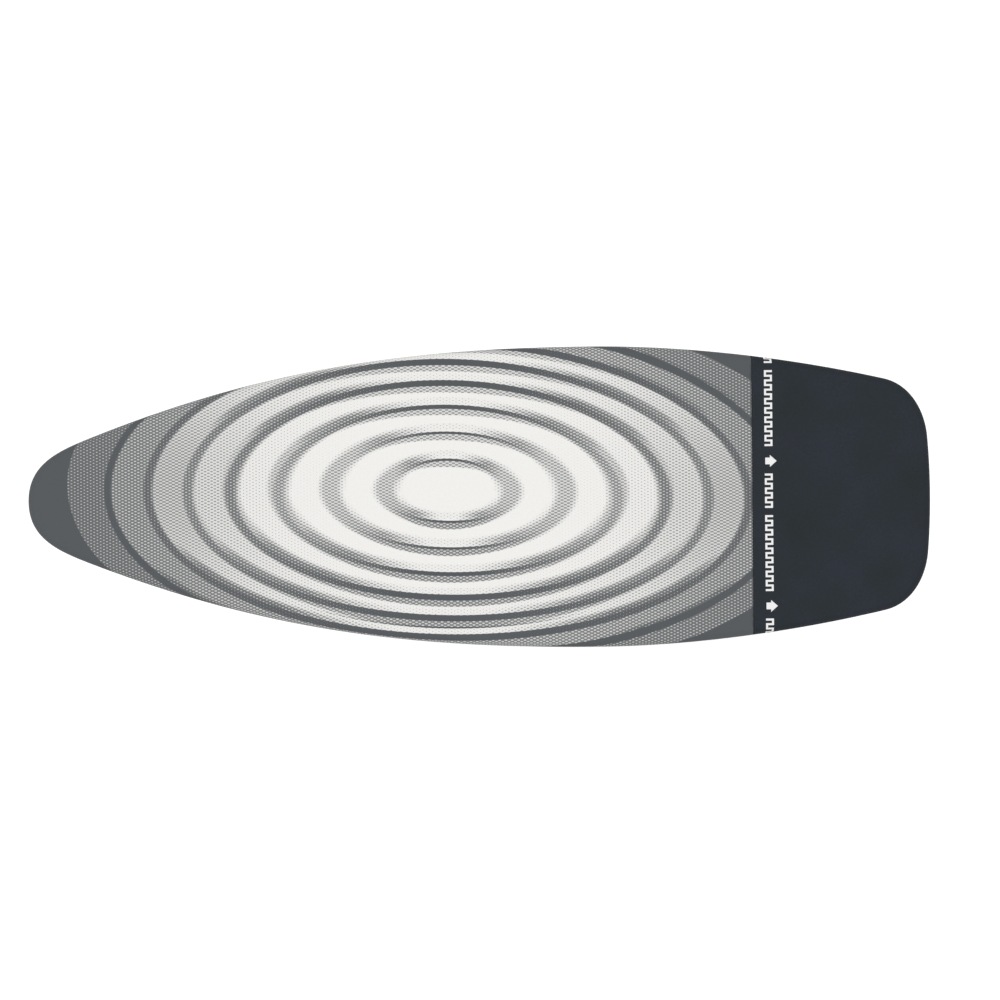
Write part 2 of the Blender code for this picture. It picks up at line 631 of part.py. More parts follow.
def carriage(materials):
    axis = axis_empty("carriage_axis", SLIDER)
    floor = HOUSING_FLOOR - PIVOT_Z
    head = LOCK_ROD_RISE + LOCK_ROD_RADIUS + 0.003
    front = HOUSING_FRONT - HOUSING_WALL
    back = HOUSING_BACK - HOUSING_WALL
    base = -PIVOT_RADIUS - HOUSING_WALL
    walls = [(-HOUSING_BACK, base), (-HOUSING_BACK, head), (-back, head), (-back, floor), (front, floor),
             (front, head), (HOUSING_FRONT, head), (HOUSING_FRONT, base)]
    half = HOUSING_WIDTH / 2
    body = extrude_outline(walls, -half, half)
    housing = add_part("carriage_housing", body, materials["black_plastic"], axis)
    cut(housing, rod(-half - 0.01, half + 0.01, PIVOT_RADIUS + CLEARANCE), axis)
    bore = rod(-HOUSING_BACK - 0.01, HOUSING_FRONT + 0.01, LOCK_ROD_RADIUS + CLEARANCE * 2, "X")
    cut(housing, bore, axis, place=(0, 0, LOCK_ROD_RISE))

    end = INNER_LEG_Y + LEG_RADIUS + 0.0035
    add_part("slider_axle", rod(-end, end, PIVOT_RADIUS), materials["zinc"], axis, smooth=True)
    for side, sign in (("left", 1), ("right", -1)):
        slide_block(f"slide_block_{side}", sign, materials["grey_plastic"], axis)
        face = INNER_LEG_Y + LEG_RADIUS + CLEARANCE
        ends = sorted((sign * face, sign * (face + 0.0025)))
        cap = sleeve(*ends, PIVOT_RADIUS + 0.0035, PIVOT_RADIUS + CLEARANCE, sides=16)
        add_part(f"axle_cap_{side}", cap, materials["zinc"], axis, smooth=True)

    start = -PLATE_OFFSET + PLATE_THICKNESS / 2 + 0.0010
    spring = coil(start, front - CLEARANCE, LOCK_ROD_RADIUS + 0.0016, 0.0006, 5, "X")
    add_part("lock_spring", spring, materials["zinc"], axis, (0, 0, LOCK_ROD_RISE), smooth=True)


def slide_block(name, sign, surface, axis):
    """A plastic shoe that straddles the rail's web."""
    low = SLIDE_BLOCK_HEIGHT / 2
    lip = low + SLIDE_LIP
    groove = RAIL_WALL / 2 + CLEARANCE
    side = groove + 0.004
    section = [(-side, -lip), (-side, lip), (-groove, lip), (-groove, low), (groove, low), (groove, lip),
               (side, lip), (side, -lip), (groove, -lip), (groove, -low), (-groove, -low), (-groove, -lip)]
    half = SLIDE_BLOCK_LENGTH / 2
    place = (0, sign * RAIL_Y, 0)
    block = add_part(name, extrude_outline(section, -half, half, "X"), surface, axis, place)
    cut(block, rod(-0.02, 0.02, PIVOT_RADIUS + CLEARANCE), axis, place)


def lock_plate(materials):
    """A canting plate on the lock rod; its tail lies under the release blade."""
    axis = axis_empty("lock_plate_axis", PLATE_PIVOT, -PLATE_TILT)
    half = PLATE_THICKNESS / 2
    foot = -half + CLEARANCE
    top = TAIL_TOP - PLATE_PIVOT.z
    under = top - TAIL_THICKNESS
    section = [(-half, foot), (-half, top), (TAIL_ARM, top), (TAIL_ARM, under), (half, under), (half, foot)]
    width = PLATE_WIDTH / 2
    plate = add_part("lock_plate", extrude_outline(section, -TAIL_REACH, width), materials["zinc"], axis)
    edge = 0.05
    cut(plate, box((-edge, -edge * 2, -edge), (edge, -width, under)), axis)
    hole = rod(-0.02, 0.02, LOCK_ROD_RADIUS + 0.0007, "X")
    cut(plate, moved(hole, (0, 0, ROD_Z - PLATE_PIVOT.z)), axis)


def release(materials):
    """The sprung bar along the board, its blade over the lock plate's tail, and the lever's grip."""
    place = Vector((0, BAR_Y, BAR_Z))
    axis = axis_empty("lever_axis", place)
    front = ROD_FRONT_X - 0.030
    behind = ROD_REAR_X + 0.0085
    tip = LEVER_TIP_Y - BAR_Y
    drop = -LEVER_DROP
    turn = [(front, 0, 0), (behind - 0.016, 0, 0), (behind - 0.008, 0, -0.0002),
            (behind - 0.0035, -0.002, -0.001), (behind - 0.0008, -0.006, -0.0025),
            (behind, -0.012, -0.0045), (behind, -0.024, drop + 0.0030), (behind, -0.032, drop + 0.0010),
            (behind, -0.040, drop), (behind, tip + 0.006, drop)]
    add_tube("release_bar", [Vector(p) for p in turn], BAR_RADIUS, materials["zinc"], axis)

    lift = LEVER_SWING / 2
    inner = BAR_RADIUS + CLEARANCE
    half = BLADE_THICKNESS / 2
    blade = box((BLADE_FRONT_X, inner, -half), (BLADE_REAR_X, BLADE_ARM, half))
    bmesh.ops.transform(blade, matrix=Matrix.Rotation(lift, 4, "X"), verts=blade.verts)
    add_part("release_blade", blade, materials["zinc"], axis)

    grip_low = (behind - GRIP_WIDTH * 0.62, tip, drop - GRIP_HEIGHT / 2)
    grip_high = (behind + GRIP_WIDTH * 0.38, tip + GRIP_LENGTH, drop + GRIP_HEIGHT / 2)
    grip = add_part("lever_grip", box(grip_low, grip_high), materials["black_plastic"], axis)
    cut(grip, tube_cutter(behind, tip + 0.0055, tip + GRIP_LENGTH + 0.01, drop), axis)
    soften = grip.modifiers.new("soften", "BEVEL")
    soften.width = 0.0015
    soften.segments = 2
    grip.modifiers.move(1, 0)

    half_block = BEARING_WIDTH / 2
    for end, low in (("front", ROD_FRONT_X), ("rear", ROD_REAR_X - BEARING_WIDTH)):
        corner = (low, BAR_Y - half_block, BAR_Z - half_block)
        block = box(corner, (low + BEARING_WIDTH, BAR_Y + half_block, HANG_Z))
        bearing = add_part(f"bar_bearing_{end}", block, materials["grey_plastic"])
        hole = rod(low - 0.01, low + BEARING_WIDTH + 0.01, BAR_RADIUS + CLEARANCE, "X")
        cut(bearing, hole, place=place)

    spring = coil(ROD_FRONT_X - 0.018, ROD_FRONT_X - CLEARANCE, BAR_RADIUS + 0.0009, 0.0006, 6, "X")
    add_part("lever_spring", spring, materials["zinc"], place=place, smooth=True)


def tube_cutter(x, low, high, z):
    return moved(rod(low, high, BAR_RADIUS + CLEARANCE, "Y", 12), (x, 0, z))


# ---- legs ----------------------------------------------------------------------------------------


def leg_tube(name, y, start, end, surface, axis, holes):
    """A round leg along its own X, closed at its top end and open where it meets the foot bar."""
    bore = LEG_RADIUS - LEG_WALL
    closed = start + LEG_WALL if start < end else start - LEG_WALL
    shape = lathe([(start, LEG_RADIUS), (end, LEG_RADIUS), (end, bore), (closed, bore)], "X", 16)
    leg = add_part(name, shape, surface, axis, (0, y, 0), smooth=True)
    for place, radius in holes:
        cut(leg, rod(-0.03, 0.03, radius + CLEARANCE, "Y", 12), axis, (place, y, 0))


def foot(name, x, half, surface, cap_surface, axis):
    """A cross bar with a rubber cap at each end."""
    wall = LEG_WALL
    bar = sleeve(-half, half, FOOT_BAR_RADIUS, FOOT_BAR_RADIUS - wall, sides=18)
    add_part(f"{name}_foot_bar", bar, surface, axis, (x, 0, 0), smooth=True)
    for side, sign in (("left", 1), ("right", -1)):
        seat = half - FOOT_CAP_LENGTH + 0.004
        bore = FOOT_BAR_RADIUS + CLEARANCE
        outer = FOOT_CAP_RADIUS
        profile = [(seat, bore), (seat, outer - 0.0015), (seat + 0.0015, outer), (half + 0.0025, outer),
                   (half + 0.004, outer - 0.0015), (half + 0.004, 0.004), (half + CLEARANCE, 0.004),
                   (half + CLEARANCE, bore), (seat, bore)]
        cap = lathe([(sign * along, radius) for along, radius in profile], "Y", 16)
        add_part(f"{name}_foot_cap_{side}", cap, cap_surface, axis, (x, 0, 0), smooth=True)


def brace(name, x, y, surface, axis):
    reach = y - LEG_RADIUS - CLEARANCE
    bar = sleeve(-reach, reach, BRACE_RADIUS, BRACE_RADIUS - LEG_WALL, sides=14)
    add_part(name, bar, surface, axis, (x, 0, 0), smooth=True)


def legs(materials):
    overhang = LEG_RADIUS + 0.0025
    end = LEG_LENGTH - FOOT_BAR_RADIUS - CLEARANCE
    outer = axis_empty("outer_leg_axis", PIVOT, LEG_ANGLE)
    inner = axis_empty("inner_leg_axis", CROSSING, -LEG_ANGLE)
    for side, sign in (("left", 1), ("right", -1)):
        leg_tube(f"outer_leg_{side}", sign * OUTER_LEG_Y, -overhang, end, materials["leg"], outer,
                 ((0, PIVOT_RADIUS), (LEG_UPPER, CROSS_BOLT_RADIUS)))
        leg_tube(f"inner_leg_{side}", sign * INNER_LEG_Y, LEG_UPPER + overhang, LEG_UPPER - end,
                 materials["leg"], inner, ((LEG_UPPER, PIVOT_RADIUS), (0, CROSS_BOLT_RADIUS)))
        crossing(side, sign, materials, outer)
    foot("outer", LEG_LENGTH, OUTER_FOOT_HALF, materials["leg"], materials["rubber"], outer)
    foot("inner", -LEG_LOWER, INNER_FOOT_HALF, materials["leg"], materials["rubber"], inner)
    brace("outer_leg_brace", BRACE_DISTANCE, OUTER_LEG_Y, materials["leg"], outer)
    brace("inner_leg_brace", LEG_UPPER - BRACE_DISTANCE, INNER_LEG_Y, materials["leg"], inner)


def crossing(side, sign, materials, axis):
    """The bolt where two legs cross, with a washer between them."""
    place = (LEG_UPPER, 0, 0)
    head = 0.0022
    inside = INNER_LEG_Y - LEG_RADIUS - CLEARANCE
    outside = OUTER_LEG_Y + LEG_RADIUS + CLEARANCE
    big = CROSS_BOLT_RADIUS + 0.0035
    profile = [(inside - head, big - 0.001), (inside, big), (inside, CROSS_BOLT_RADIUS),
               (outside, CROSS_BOLT_RADIUS), (outside, big), (outside + head, big - 0.001)]
    bolt = lathe([(sign * along, radius) for along, radius in profile], "Y", 14)
    add_part(f"cross_pivot_{side}", bolt, materials["zinc"], axis, place, smooth=True)
    near = INNER_LEG_Y + LEG_RADIUS + CLEARANCE
    far = OUTER_LEG_Y - LEG_RADIUS - CLEARANCE
    ends = sorted((sign * near, sign * far))
    washer = sleeve(*ends, CROSS_BOLT_RADIUS + 0.005, CROSS_BOLT_RADIUS + CLEARANCE, sides=14)
    add_part(f"cross_spacer_{side}", washer, materials["black_plastic"], axis, place, smooth=True)


# ---- transport hook ------------------------------------------------------------------------------


def transport_hook(materials):
    """A hook that lies open under the nose and swings round the folded foot bar."""
    axis = axis_empty("hook_axis", HOOK_PIVOT, pi / 2)
    half = HOOK_ARM / 2
    bar_z = PIVOT_Z - HOOK_PIVOT.z
    under = bar_z - FOOT_BAR_RADIUS - 0.0005
    reach = half + 0.0005 + FOOT_BAR_RADIUS * 2
    head = HOOK_PIN_RADIUS + 0.0025
    shape = [(-half, head), (half, head), (half, under), (reach - 0.004, under),
             (reach - 0.001, under + 0.004), (reach + 0.002, under + 0.004), (reach, under - HOOK_WALL),
             (-half, under - HOOK_WALL)]
    width = HOOK_WIDTH / 2
    hook = add_part("transport_hook", extrude_outline(shape, -width, width), materials["black_plastic"], axis)
    hook_hole = rod(-0.02, 0.02, HOOK_PIN_RADIUS + CLEARANCE)
    cut(hook, hook_hole, axis)

    inside = width + CLEARANCE
    outside = inside + 0.002
    low = HOOK_PIVOT.z - HOOK_PIN_RADIUS - 0.003
    fork = [(-outside, low), (-outside, HANG_Z), (outside, HANG_Z), (outside, low), (inside, low),
            (inside, HANG_Z - 0.002), (-inside, HANG_Z - 0.002), (-inside, low)]
    holder = add_part("hook_bracket", extrude_outline(fork, HOOK_PIVOT.x - 0.008, HOOK_PIVOT.x + 0.008, "X"),
                      materials["frame"])
    cut(holder, rod(-0.02, 0.02, HOOK_PIN_RADIUS + CLEARANCE), place=HOOK_PIVOT)
    add_part("hook_pin", rod(-outside - 0.001, outside + 0.001, HOOK_PIN_RADIUS, sides=12), materials["zinc"],
             place=HOOK_PIVOT, smooth=True)


# ---- the whole board -----------------------------------------------------------------------------


def build():
    clear_scene()
    materials = {
        "print": material("printed_cotton", (0.62, 0.62, 0.60), 0.9),
        "heat": material("heat_zone_cloth", (0.030, 0.036, 0.042), 0.6),
        "tape": material("hem_tape", (0.60, 0.60, 0.58), 0.9),
        "cord": material("drawstring_cord", (0.75, 0.75, 0.73), 0.9),
        "foam": material("foam", (0.70, 0.68, 0.58), 0.95),
        "felt": material("felt", (0.50, 0.50, 0.50), 1.0),
        "mesh": material("mesh_steel", (0.70, 0.71, 0.72), 0.45, 0.3),
        "frame": material("frame_paint", (0.65, 0.66, 0.67), 0.4, 0.2),
        "leg": material("leg_paint", (0.55, 0.56, 0.58), 0.35, 0.3),
        "zinc": material("zinc_steel", (0.60, 0.61, 0.62), 0.3, 1.0),
        "black_plastic": material("black_plastic", (0.03, 0.03, 0.035), 0.5),
        "grey_plastic": material("grey_plastic", (0.25, 0.25, 0.26), 0.5),
        "rubber": material("rubber", (0.04, 0.04, 0.045), 0.8),
    }
    soft_top(materials)
    top_frame(materials)
    carriage(materials)
    lock_plate(materials)
    release(materials)
    legs(materials)
    transport_hook(materials)


build()
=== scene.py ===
import json
from math import cos, pi, radians, sin, sqrt, tau

import bmesh
import bpy
import numpy as np
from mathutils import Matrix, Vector, noise

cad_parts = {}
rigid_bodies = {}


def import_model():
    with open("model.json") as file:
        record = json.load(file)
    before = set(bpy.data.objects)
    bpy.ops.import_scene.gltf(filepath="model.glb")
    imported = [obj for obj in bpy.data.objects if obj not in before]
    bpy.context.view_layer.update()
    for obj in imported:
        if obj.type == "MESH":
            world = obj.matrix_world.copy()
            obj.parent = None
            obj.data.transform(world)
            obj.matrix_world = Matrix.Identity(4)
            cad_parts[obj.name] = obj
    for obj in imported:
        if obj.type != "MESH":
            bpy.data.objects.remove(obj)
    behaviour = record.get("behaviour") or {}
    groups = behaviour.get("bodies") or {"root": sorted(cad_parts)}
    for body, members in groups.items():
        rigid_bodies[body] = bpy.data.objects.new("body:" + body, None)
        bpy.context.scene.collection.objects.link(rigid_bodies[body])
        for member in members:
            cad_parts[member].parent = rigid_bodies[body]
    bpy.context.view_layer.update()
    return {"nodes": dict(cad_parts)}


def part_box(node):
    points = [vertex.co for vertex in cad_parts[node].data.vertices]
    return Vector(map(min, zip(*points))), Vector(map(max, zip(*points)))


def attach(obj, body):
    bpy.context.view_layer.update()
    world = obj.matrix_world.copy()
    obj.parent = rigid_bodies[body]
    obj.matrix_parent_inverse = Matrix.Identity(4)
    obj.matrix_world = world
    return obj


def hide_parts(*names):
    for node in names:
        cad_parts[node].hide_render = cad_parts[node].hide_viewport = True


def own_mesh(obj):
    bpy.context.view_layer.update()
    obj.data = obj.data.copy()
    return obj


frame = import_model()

# ---- sizes of the soft top, in metres ------------------------------------------------------------
BOARD_LENGTH = 1.350
BOARD_WIDTH = 0.450
TOP_Z = 0.920
HEAT_ZONE_LENGTH = 0.267
NOSE_LENGTH = 0.096
NOSE_HALF_WIDTH = 0.0955
NOSE_ROUNDING = 0.056
FLANK_SLOPE = 0.39
WIDEST_FROM_END = 0.500
CORNER_LENGTH = 0.068
CORNER_HALF_WIDTH = 0.1735
CORNER_SLOPE = -0.23
CORNER_ROUNDING = 0.040
END_BOW = 0.0035
END_HALF_WIDTH = 0.086
EDGE_RADIUS = 0.012
TUBE_Z = 0.9003              # middle of the edge tube
TURN_RADIUS = 0.0108         # of the cover round the edge tube
HEM_WIDTH = 0.0316
CLOTH_THICKNESS = 0.0008
CORD_INSET = 0.035
CORD_Z = 0.8898
CORD_RADIUS = 0.002
CORD_LEAVES_Y = 0.024        # where it leaves the hem for the lock, on either side
CORD_STEP = 0.0022           # between the rings of its mesh
CORD_LOCK_X = -0.600
FELT_Z = (0.9114, 0.9144)    # bottom and top
FOAM_Z = (0.9147, 0.9186)

NOSE_X = -BOARD_LENGTH / 2
END_X = BOARD_LENGTH / 2
SEAM_X = END_X - HEAT_ZONE_LENGTH
AROUND = 600                 # stations round the outline
MERGED = 0.0002              # points of the top closer than this are one
FLAT_PLACE = "flat_place"    # each cover point's place on the cloth before it was bent over the edge


# ---- small tools ---------------------------------------------------------------------------------


def placed(name, data):
    """A new object in the scene."""
    made = bpy.data.objects.new(name, data)
    bpy.context.scene.collection.objects.link(made)
    return made


def finished_piece(name, mesh, surface, body):
    """A named piece from its mesh, smooth, riding on a body."""
    mesh.materials.append(surface)
    mesh.shade_smooth()
    piece = placed(name, mesh)
    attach(piece, body)
    return piece


def mesh_piece(name, vertices, faces, surface, body="board_frame"):
    """A piece from plain points and faces."""
    mesh = bpy.data.meshes.new(name)
    mesh.from_pydata([tuple(v) for v in vertices], [], faces)
    mesh.validate()
    return finished_piece(name, mesh, surface, body)


def bmesh_piece(name, bm, surface, body="board_frame"):
    """A piece from a bmesh, which is freed."""
    mesh = bpy.data.meshes.new(name)
    bm.to_mesh(mesh)
    bm.free()
    return finished_piece(name, mesh, surface, body)


def grid_faces(rows, count):
    """Faces between equally long closed rows of points."""
    faces = []
    for row in range(rows - 1):
        for k in range(count):
            a, b = row * count + k, row * count + (k + 1) % count
            faces.append((a, b, b + count, a + count))
    return faces


def end_faces(rows, count):
    """Faces that close the first and the last of such rows."""
    return [tuple(range(count))[::-1], tuple(range((rows - 1) * count, rows * count))]


def join(parts):
    """Puts (vertices, faces) lists together."""
    vertices, faces = [], []
    for some, made in parts:
        base = len(vertices)
        vertices += list(some)
        faces += [tuple(k + base for k in face) for face in made]
    return vertices, faces


def running_length(points):
    """How far along a line each of its points lies."""
    steps = np.linalg.norm(np.diff(points, axis=0), axis=1)
    return np.concatenate([[0], np.cumsum(steps)])


def tube_along(path, radius, sides, lobes=0, lobe_height=0.0, twist=0.0):
    """Vertices and faces of a tube along points, with turning lobes like a laid or braided cord."""
    path = np.asarray(path, dtype=float)
    way = np.gradient(path, axis=0)
    way /= np.linalg.norm(way, axis=1)[:, None]
    vertices = []
    for place, ahead, length in zip(path, way, running_length(path)):
        side = np.cross(ahead, (0, 0, 1.0))
        side /= max(np.linalg.norm(side), 1e-9)
        up = np.cross(side, ahead)
        for k in range(sides):
            angle = tau * k / sides
            reach = radius
            if lobes:
                reach -= lobe_height * (0.5 - 0.5 * cos(lobes * (angle - twist * length)))
            vertices.append(place + reach * (side * cos(angle) + up * sin(angle)))
    return vertices, grid_faces(len(path), sides) + end_faces(len(path), sides)


def smoothstep(value, low, high):
    t = min(1.0, max(0.0, (value - low) / (high - low)))
    return t * t * (3 - 2 * t)


def sharpened(piece, angle):
    """Leaves a smooth piece's edges above an angle in degrees sharp."""
    piece.data.set_sharp_from_angle(angle=radians(angle))
    return piece


def corners(node):
    """A CAD node's lowest and highest corner."""
    low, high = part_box(node)
    return Vector(low), Vector(high)


# ---- shaders -------------------------------------------------------------------------------------


class Value:
    """A number found at each shaded place; arithmetic on it adds math nodes."""

    def __init__(self, shader, socket):
        self.shader = shader
        self.socket = socket

    def __add__(self, other):
        return self.shader.math("ADD", self, other)

    def __sub__(self, other):
        return self.shader.math("SUBTRACT", self, other)

    def __rsub__(self, other):
        return self.shader.math("SUBTRACT", other, self)

    def __mul__(self, other):
        return self.shader.math("MULTIPLY", self, other)

    def __truediv__(self, other):
        return self.shader.math("DIVIDE", self, other)

    def __pow__(self, power):
        return self.shader.math("POWER", self, power)

    def __abs__(self):
        return self.shader.math("ABSOLUTE", self)

    def __gt__(self, other):
        return self.shader.math("GREATER_THAN", self, other)

    def __lt__(self, other):
        return self.shader.math("LESS_THAN", self, other)


class Shader:
    """One material's nodes, written as plain calls. Its place is a point on the piece.

    That is the piece's own point, or the vector of the attribute that place names.
    """

    def __init__(self, name, place=None):
        self.material = bpy.data.materials.new(name)
        self.material.use_nodes = True
        self.tree = self.material.node_tree
        self.surface = self.tree.nodes["Principled BSDF"]
        if place:
            self.place = self.out("Attribute", at="Vector", attribute_name=place)
        else:
            self.place = self.out("TexCoord", at="Object")

    def add(self, kind, *inputs, **settings):
        node = self.tree.nodes.new("ShaderNode" + kind)
        for key, value in settings.items():
            setattr(node, key, value)
        for socket, value in zip(node.inputs, inputs):
            self.feed(socket, value)
        return node

    def out(self, kind, *inputs, at=0, **settings):
        """A new node's output."""
        return Value(self, self.add(kind, *inputs, **settings).outputs[at])

    def feed(self, socket, value):
        if isinstance(value, Value):
            self.tree.links.new(value.socket, socket)
        else:
            socket.default_value = value

    def set(self, **values):
        """Sets the surface's inputs; an underscore stands for a space."""
        for key, value in values.items():
            self.feed(self.surface.inputs[key.replace("_", " ")], value)

    def math(self, operation, *inputs):
        return self.out("Math", *inputs, operation=operation)

    def most(self, first, *others):
        for other in others:
            first = self.math("MAXIMUM", first, other)
        return first

    def least(self, first, second):
        return self.math("MINIMUM", first, second)

    def within(self, value, low, high):
        """1 where the value is between low and high, else 0."""
        return (value > low) * (value < high)

    def step(self, value, low, high, start=0.0, end=1.0):
        """A smooth step from start to end as value goes from low to high."""
        return self.out("MapRange", value, low, high, start, end, interpolation_type="SMOOTHSTEP")

    def blend(self, share, low, high):
        """From low to high as share goes from 0 to 1."""
        return self.out("MapRange", share, 0.0, 1.0, low, high)

    def ramp(self, position, stops, interpolation="LINEAR"):
        """The value between (position, value) stops."""
        node = self.add("ValToRGB", position)
        node.color_ramp.interpolation = interpolation
        elements = node.color_ramp.elements
        while len(elements) > 1:
            elements.remove(elements[-1])
        elements[0].position = stops[0][0]
        for place, _ in stops[1:]:
            elements.new(place)
        for element, (_, value) in zip(elements, stops):
            element.color = (value, value, value, 1)
        return Value(self, node.outputs[0])

    def mix(self, share, first, second):
        """A colour between two, each a colour or a value."""
        node = self.add("Mix", data_type="RGBA")
        self.feed(node.inputs[0], share)
        self.feed(node.inputs[6], (*first, 1) if isinstance(first, tuple) else first)
        self.feed(node.inputs[7], (*second, 1) if isinstance(second, tuple) else second)
        return Value(self, node.outputs[2])

    def noise(self, scale, detail=3.0, roughness=0.55, place=None):
        node = self.add("TexNoise")
        self.feed(node.inputs["Vector"], place or self.place)
        self.feed(node.inputs["Scale"], scale)
        self.feed(node.inputs["Detail"], detail)
        self.feed(node.inputs["Roughness"], roughness)
        return Value(self, node.outputs[0])

    def bump(self, height, strength, distance):
        node = self.add("Bump")
        self.feed(node.inputs["Height"], height)
        self.feed(node.inputs["Strength"], strength)
        self.feed(node.inputs["Distance"], distance)
        self.set(Normal=Value(self, node.outputs[0]))

    def axes(self):
        """The place's x and y."""
        node = self.add("SeparateXYZ", self.place)
        return Value(self, node.outputs[0]), Value(self, node.outputs[1])

    def wave(self, value, pitch):
        """A sine of a length, from -1 to 1 and back over each pitch."""
        return self.math("COSINE", value * (tau / pitch))

    def weave(self, pitch):
        """The height of a plain weave: warp and weft threads that pass over each other in turn."""
        x, y = self.axes()
        return self.wave(x, pitch) * self.wave(y, pitch)


# ---- the cover's print ---------------------------------------------------------------------------

# The rings, from the middle out: the half height of each, the depth of its tone at the sides, the
# half width of its solid line above and below, and the tone of the ground outside it.
RINGS = (
    (0.0464, 0.42, 0.0013, 0.01),
    (0.0866, 0.38, 0.0014, 0.04),
    (0.1254, 0.62, 0.0027, 0.14),
    (0.1608, 0.79, 0.0041, 0.38),
    (0.1922, 0.77, 0.0043, 0.53),
    (0.2216, 0.90, 0.0048, 0.73),
    (0.2509, 0.99, 0.0060, 0.86),
)
BANDS = len(RINGS) + 1
RINGS_MIDDLE = (-0.0462, 0.0118)
RINGS_TURN = radians(1.6)
RINGS_ASPECT = 2.035
RING_STEP_IN, RING_STEP_OUT = 0.0402, 0.0293     # to the ring that would be next, at either end
RINGS_REACH = 0.32                               # more than any place's half height
RINGS_RISE = 0.0012                              # the rings lie this much lower above and below,
RINGS_DROP = (0.0030, -0.0008)                   # and this much outward below, innermost to outermost
RADIUS_SCALE, LINE_SCALE = 2.0, 50.0             # bring a column of RINGS near to 1

# Each ring is a soft core, which narrows to a solid line above and below. Pairs that say "down" go
# from above to straight below; the other pairs say what they go by.
CORE_LEAN = 0.0072                               # how far a slanted stretch leans in
CORE_INSET = 0.0009                              # at the sides
CORE_HALF = 0.0014                               # half width at the sides
CORE_SOFT_SIDE = (0.0135, 0.0062)                # innermost to outermost ring
CORE_SOFT_LINE = 0.0011
FADE_SHIFT = 0.0042                              # a second, fainter core where the ring slants
FADE_HALF = (0.0018, 0.0026)                     # down
FADE_SOFT = (0.0100, 0.0112)                     # down
FADE_TONE = 0.88
SLANT_SCALE = 4.5                                # brings a slanted stretch's share up to 1
SHADE_SHIFT = 0.0048                             # the shade beside the line
SHADE_HALF = 0.0040
SHADE_SOFT = (0.0075, 0.0020)                    # sides to line
SHADE_TONE = (0.46, 0.64)                        # down
DOTS_SHIFT = 0.0095                              # the faint dots on the line's other side
DOTS_HALF = 0.0040
DOTS_SOFT = 0.0020
DOTS_TONE = 0.09
GROUND_KEPT = (0.12, 0.88)                       # of its tone above and below: inner bands, outer bands
GROUND_CHANGE = (5.2, 5.8)                       # between these bands
EXTRA_LINE = 0.2055                              # a thin line below the middle only
EXTRA_EDGE = (0.0008, 0.0020)
SOLID_FROM = 0.2785
SOLID_EDGE = 0.0015

DOT_PITCH = (0.00951, 0.00469)                   # along and across the board
DOT_GROWTH = 0.7
DOT_SPREAD = 1.12
DOT_EDGE = 0.16
SCREEN_SHARPNESS = 0.55                          # how clearly the dots stand out of the tone


def ring_place(s):
    """The half height of the ring through a place, and how far up it lies, from -1 to 1."""
    x, y = s.axes()
    dx, dy = x - RINGS_MIDDLE[0], y - RINGS_MIDDLE[1]
    along = dx * cos(RINGS_TURN) - dy * sin(RINGS_TURN)
    up = dx * sin(RINGS_TURN) + dy * cos(RINGS_TURN)
    side = along / RINGS_ASPECT
    height = s.math("SQRT", side * side + up * up)
    return height, up / s.most(height, 0.0001)


def ring_numbers(s, height):
    """The numbers of the nearest ring and of the last ring inside, as shares of the bands."""
    radii = [RINGS[0][0] - RING_STEP_IN] + [row[0] for row in RINGS] + [RINGS[-1][0] + RING_STEP_OUT]
    stops = [(radius / RINGS_REACH, k / BANDS) for k, radius in enumerate(radii)]
    number = s.ramp(height / RINGS_REACH, stops) * BANDS
    return s.math("ROUND", number) / BANDS, s.math("FLOOR", number) / BANDS


def per_ring(s, number, column, scale=1.0):
    """A column of RINGS for a ring's number."""
    stops = [(0.0, 0.0)] + [((k + 0.5) / BANDS, row[column] * scale) for k, row in enumerate(RINGS)]
    return s.ramp(number, stops, "CONSTANT") * (1 / scale)


